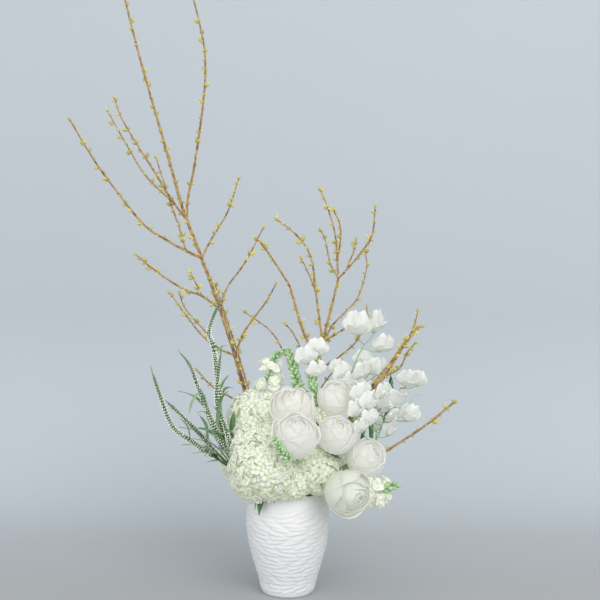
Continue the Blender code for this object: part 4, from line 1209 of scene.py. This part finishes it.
# Those with a glow emit their own colour: painted light that lifts the shade on petals, buds and the
# hydrangeas' insides
CREAM = material("cream hydrangea petal", 0.6, PETAL, 0.15, painted_glow=0.19, Foot=(0.52, 0.56, 0.3),
                 Middle=(0.66, 0.68, 0.59), Lip=(0.76, 0.765, 0.71), Shade=(0.6, 0.64, 0.48), Tinting=0.6)
GREENISH = material("green-white hydrangea petal", 0.6, PETAL, 0.15, painted_glow=0.19, Foot=(0.46, 0.53, 0.27),
                    Middle=(0.62, 0.66, 0.54), Lip=(0.68, 0.71, 0.62), Shade=(0.56, 0.61, 0.45), Tinting=0.7)
INNER = material("hydrangea inside", 0.7, MOTTLE, 0.3, painted_glow=0.3, Light=(0.6, 0.64, 0.44),
                 Dark=(0.48, 0.54, 0.32), Scale=160, Fine=500)
ROSE_WHITE = material("warm white rose petal", 0.55, PETAL, 0.1, painted_glow=0.55, Foot=(0.5, 0.48, 0.38),
                      Middle=(0.475, 0.475, 0.445), Lip=(0.49, 0.49, 0.465), Shade=(0.475, 0.475, 0.43),
                      Tinting=0.4)
# a shaded copy of the rose petal: greener, and darker with less glow as painted shade
ROSE_GREENER_IN_PAINTED_SHADE = material("greenish white rose petal in painted shade", 0.55, PETAL, 0.1, painted_glow=0.48, Foot=(0.44, 0.47, 0.32),
                        Middle=(0.455, 0.465, 0.42), Lip=(0.475, 0.48, 0.445),
                        Shade=(0.44, 0.46, 0.39), Tinting=0.5)
PEA_WHITE = material("white sweet pea petal", 0.5, PETAL, 0.15, painted_glow=0.16, Foot=(0.5, 0.58, 0.36),
                     Middle=(0.68, 0.69, 0.665), Lip=(0.73, 0.735, 0.72), Shade=(0.61, 0.64, 0.57),
                     Tinting=0.5)
SNAP_WHITE = material("white snapdragon petal", 0.5, PETAL, 0.15, painted_glow=0.22, Foot=(0.48, 0.6, 0.32),
                      Middle=(0.69, 0.71, 0.61), Lip=(0.74, 0.745, 0.69), Shade=(0.63, 0.67, 0.52),
                      Tinting=0.5)
FRESH = material("fresh green bud", 0.5, PETAL, 0.2, painted_glow=0.04, Foot=(0.2, 0.36, 0.14),
                 Middle=(0.48, 0.65, 0.38), Lip=(0.78, 0.85, 0.66), Shade=(0.3, 0.5, 0.24), Tinting=1.0)
SAGE = material("white and sage-green bud", 0.55, PETAL, 0.2, painted_glow=0.03, Foot=(0.06, 0.13, 0.045),
                Middle=(0.86, 0.88, 0.78), Lip=(0.95, 0.95, 0.92), Shade=(0.24, 0.37, 0.2), Tinting=1.0,
                Foot_share=0.5)
SPIKE_WHITE = material("white veronica floret", 0.5, PETAL, 0.2, painted_glow=0.05, Foot=(0.3, 0.42, 0.2),
                       Middle=(0.88, 0.9, 0.8), Lip=(0.95, 0.95, 0.93), Shade=(0.74, 0.82, 0.62),
                       Tinting=0.6)
SPIKE_STEM = material("dark green spike stem", 0.5, MOTTLE, 0.2, Light=(0.09, 0.17, 0.06),
                      Dark=(0.04, 0.1, 0.03), Scale=90, Fine=700)
BARK = material("golden-brown bark", 0.65, MOTTLE, 0.5, 0.0006, Light=(0.47, 0.29, 0.12),
                Dark=(0.11, 0.055, 0.022), Scale=110, Fine=900, Low=0.34, High=0.58)
BUD_YELLOW = material("yellow-green bud", 0.5, PETAL, 0.2, painted_glow=0.03, Foot=(0.3, 0.18, 0.05),
                      Middle=(0.64, 0.56, 0.17), Lip=(0.93, 0.86, 0.45), Shade=(0.38, 0.36, 0.1),
                      Tinting=0.8)
WATER = material("water", 0.03, MOTTLE, 0.1, Light=(0.82, 0.9, 0.9), Dark=(0.76, 0.86, 0.85), Scale=8,
                 Fine=60)
WATER.node_tree.nodes["Principled BSDF"].inputs["Transmission Weight"].default_value = 1
WATER.node_tree.nodes["Principled BSDF"].inputs["IOR"].default_value = 1.33

# A few of each floret, blossom and bud, which the flowers and branches repeat
SEED = random.Random(7)
FLORETS = [floret(SEED) for _ in range(6)]
SNAP_FLORETS = [snap_floret(SEED) for _ in range(3)]
GREEN_BUD = bead(6, 5, length=9, radius=2.6, widest=0.5, point=1.2)
VERONICA_BUD = bead(5, 4, length=3.4, radius=1.25, widest=0.6, point=0.7)
VERONICA_FLORETS = [veronica_floret(SEED) for _ in range(2)]
PEA_BLOSSOMS = [pea_blossom(SEED) for _ in range(6)]
PEA_CUP = bead(8, 6, length=7, radius=2.4, widest=0.6, point=0.8)
FORSYTHIA_BUDS = [forsythia_bud(SEED) for _ in range(4)]

vase()
water_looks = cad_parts["water"].data.materials
water_looks.clear()
water_looks.append(WATER)
flowers = [(hydrangea, HYDRANGEAS), (rose, ROSES), (snapdragon, SNAPDRAGONS), (veronica, VERONICAS),
           (sweet_pea, SWEET_PEAS)]
for grown, rows in flowers:
    for number, row in enumerate(rows, 1):
        grown(number, *row)
for name, branch in BRANCHES.items():
    forsythia(name, *branch)
stage()
studio()
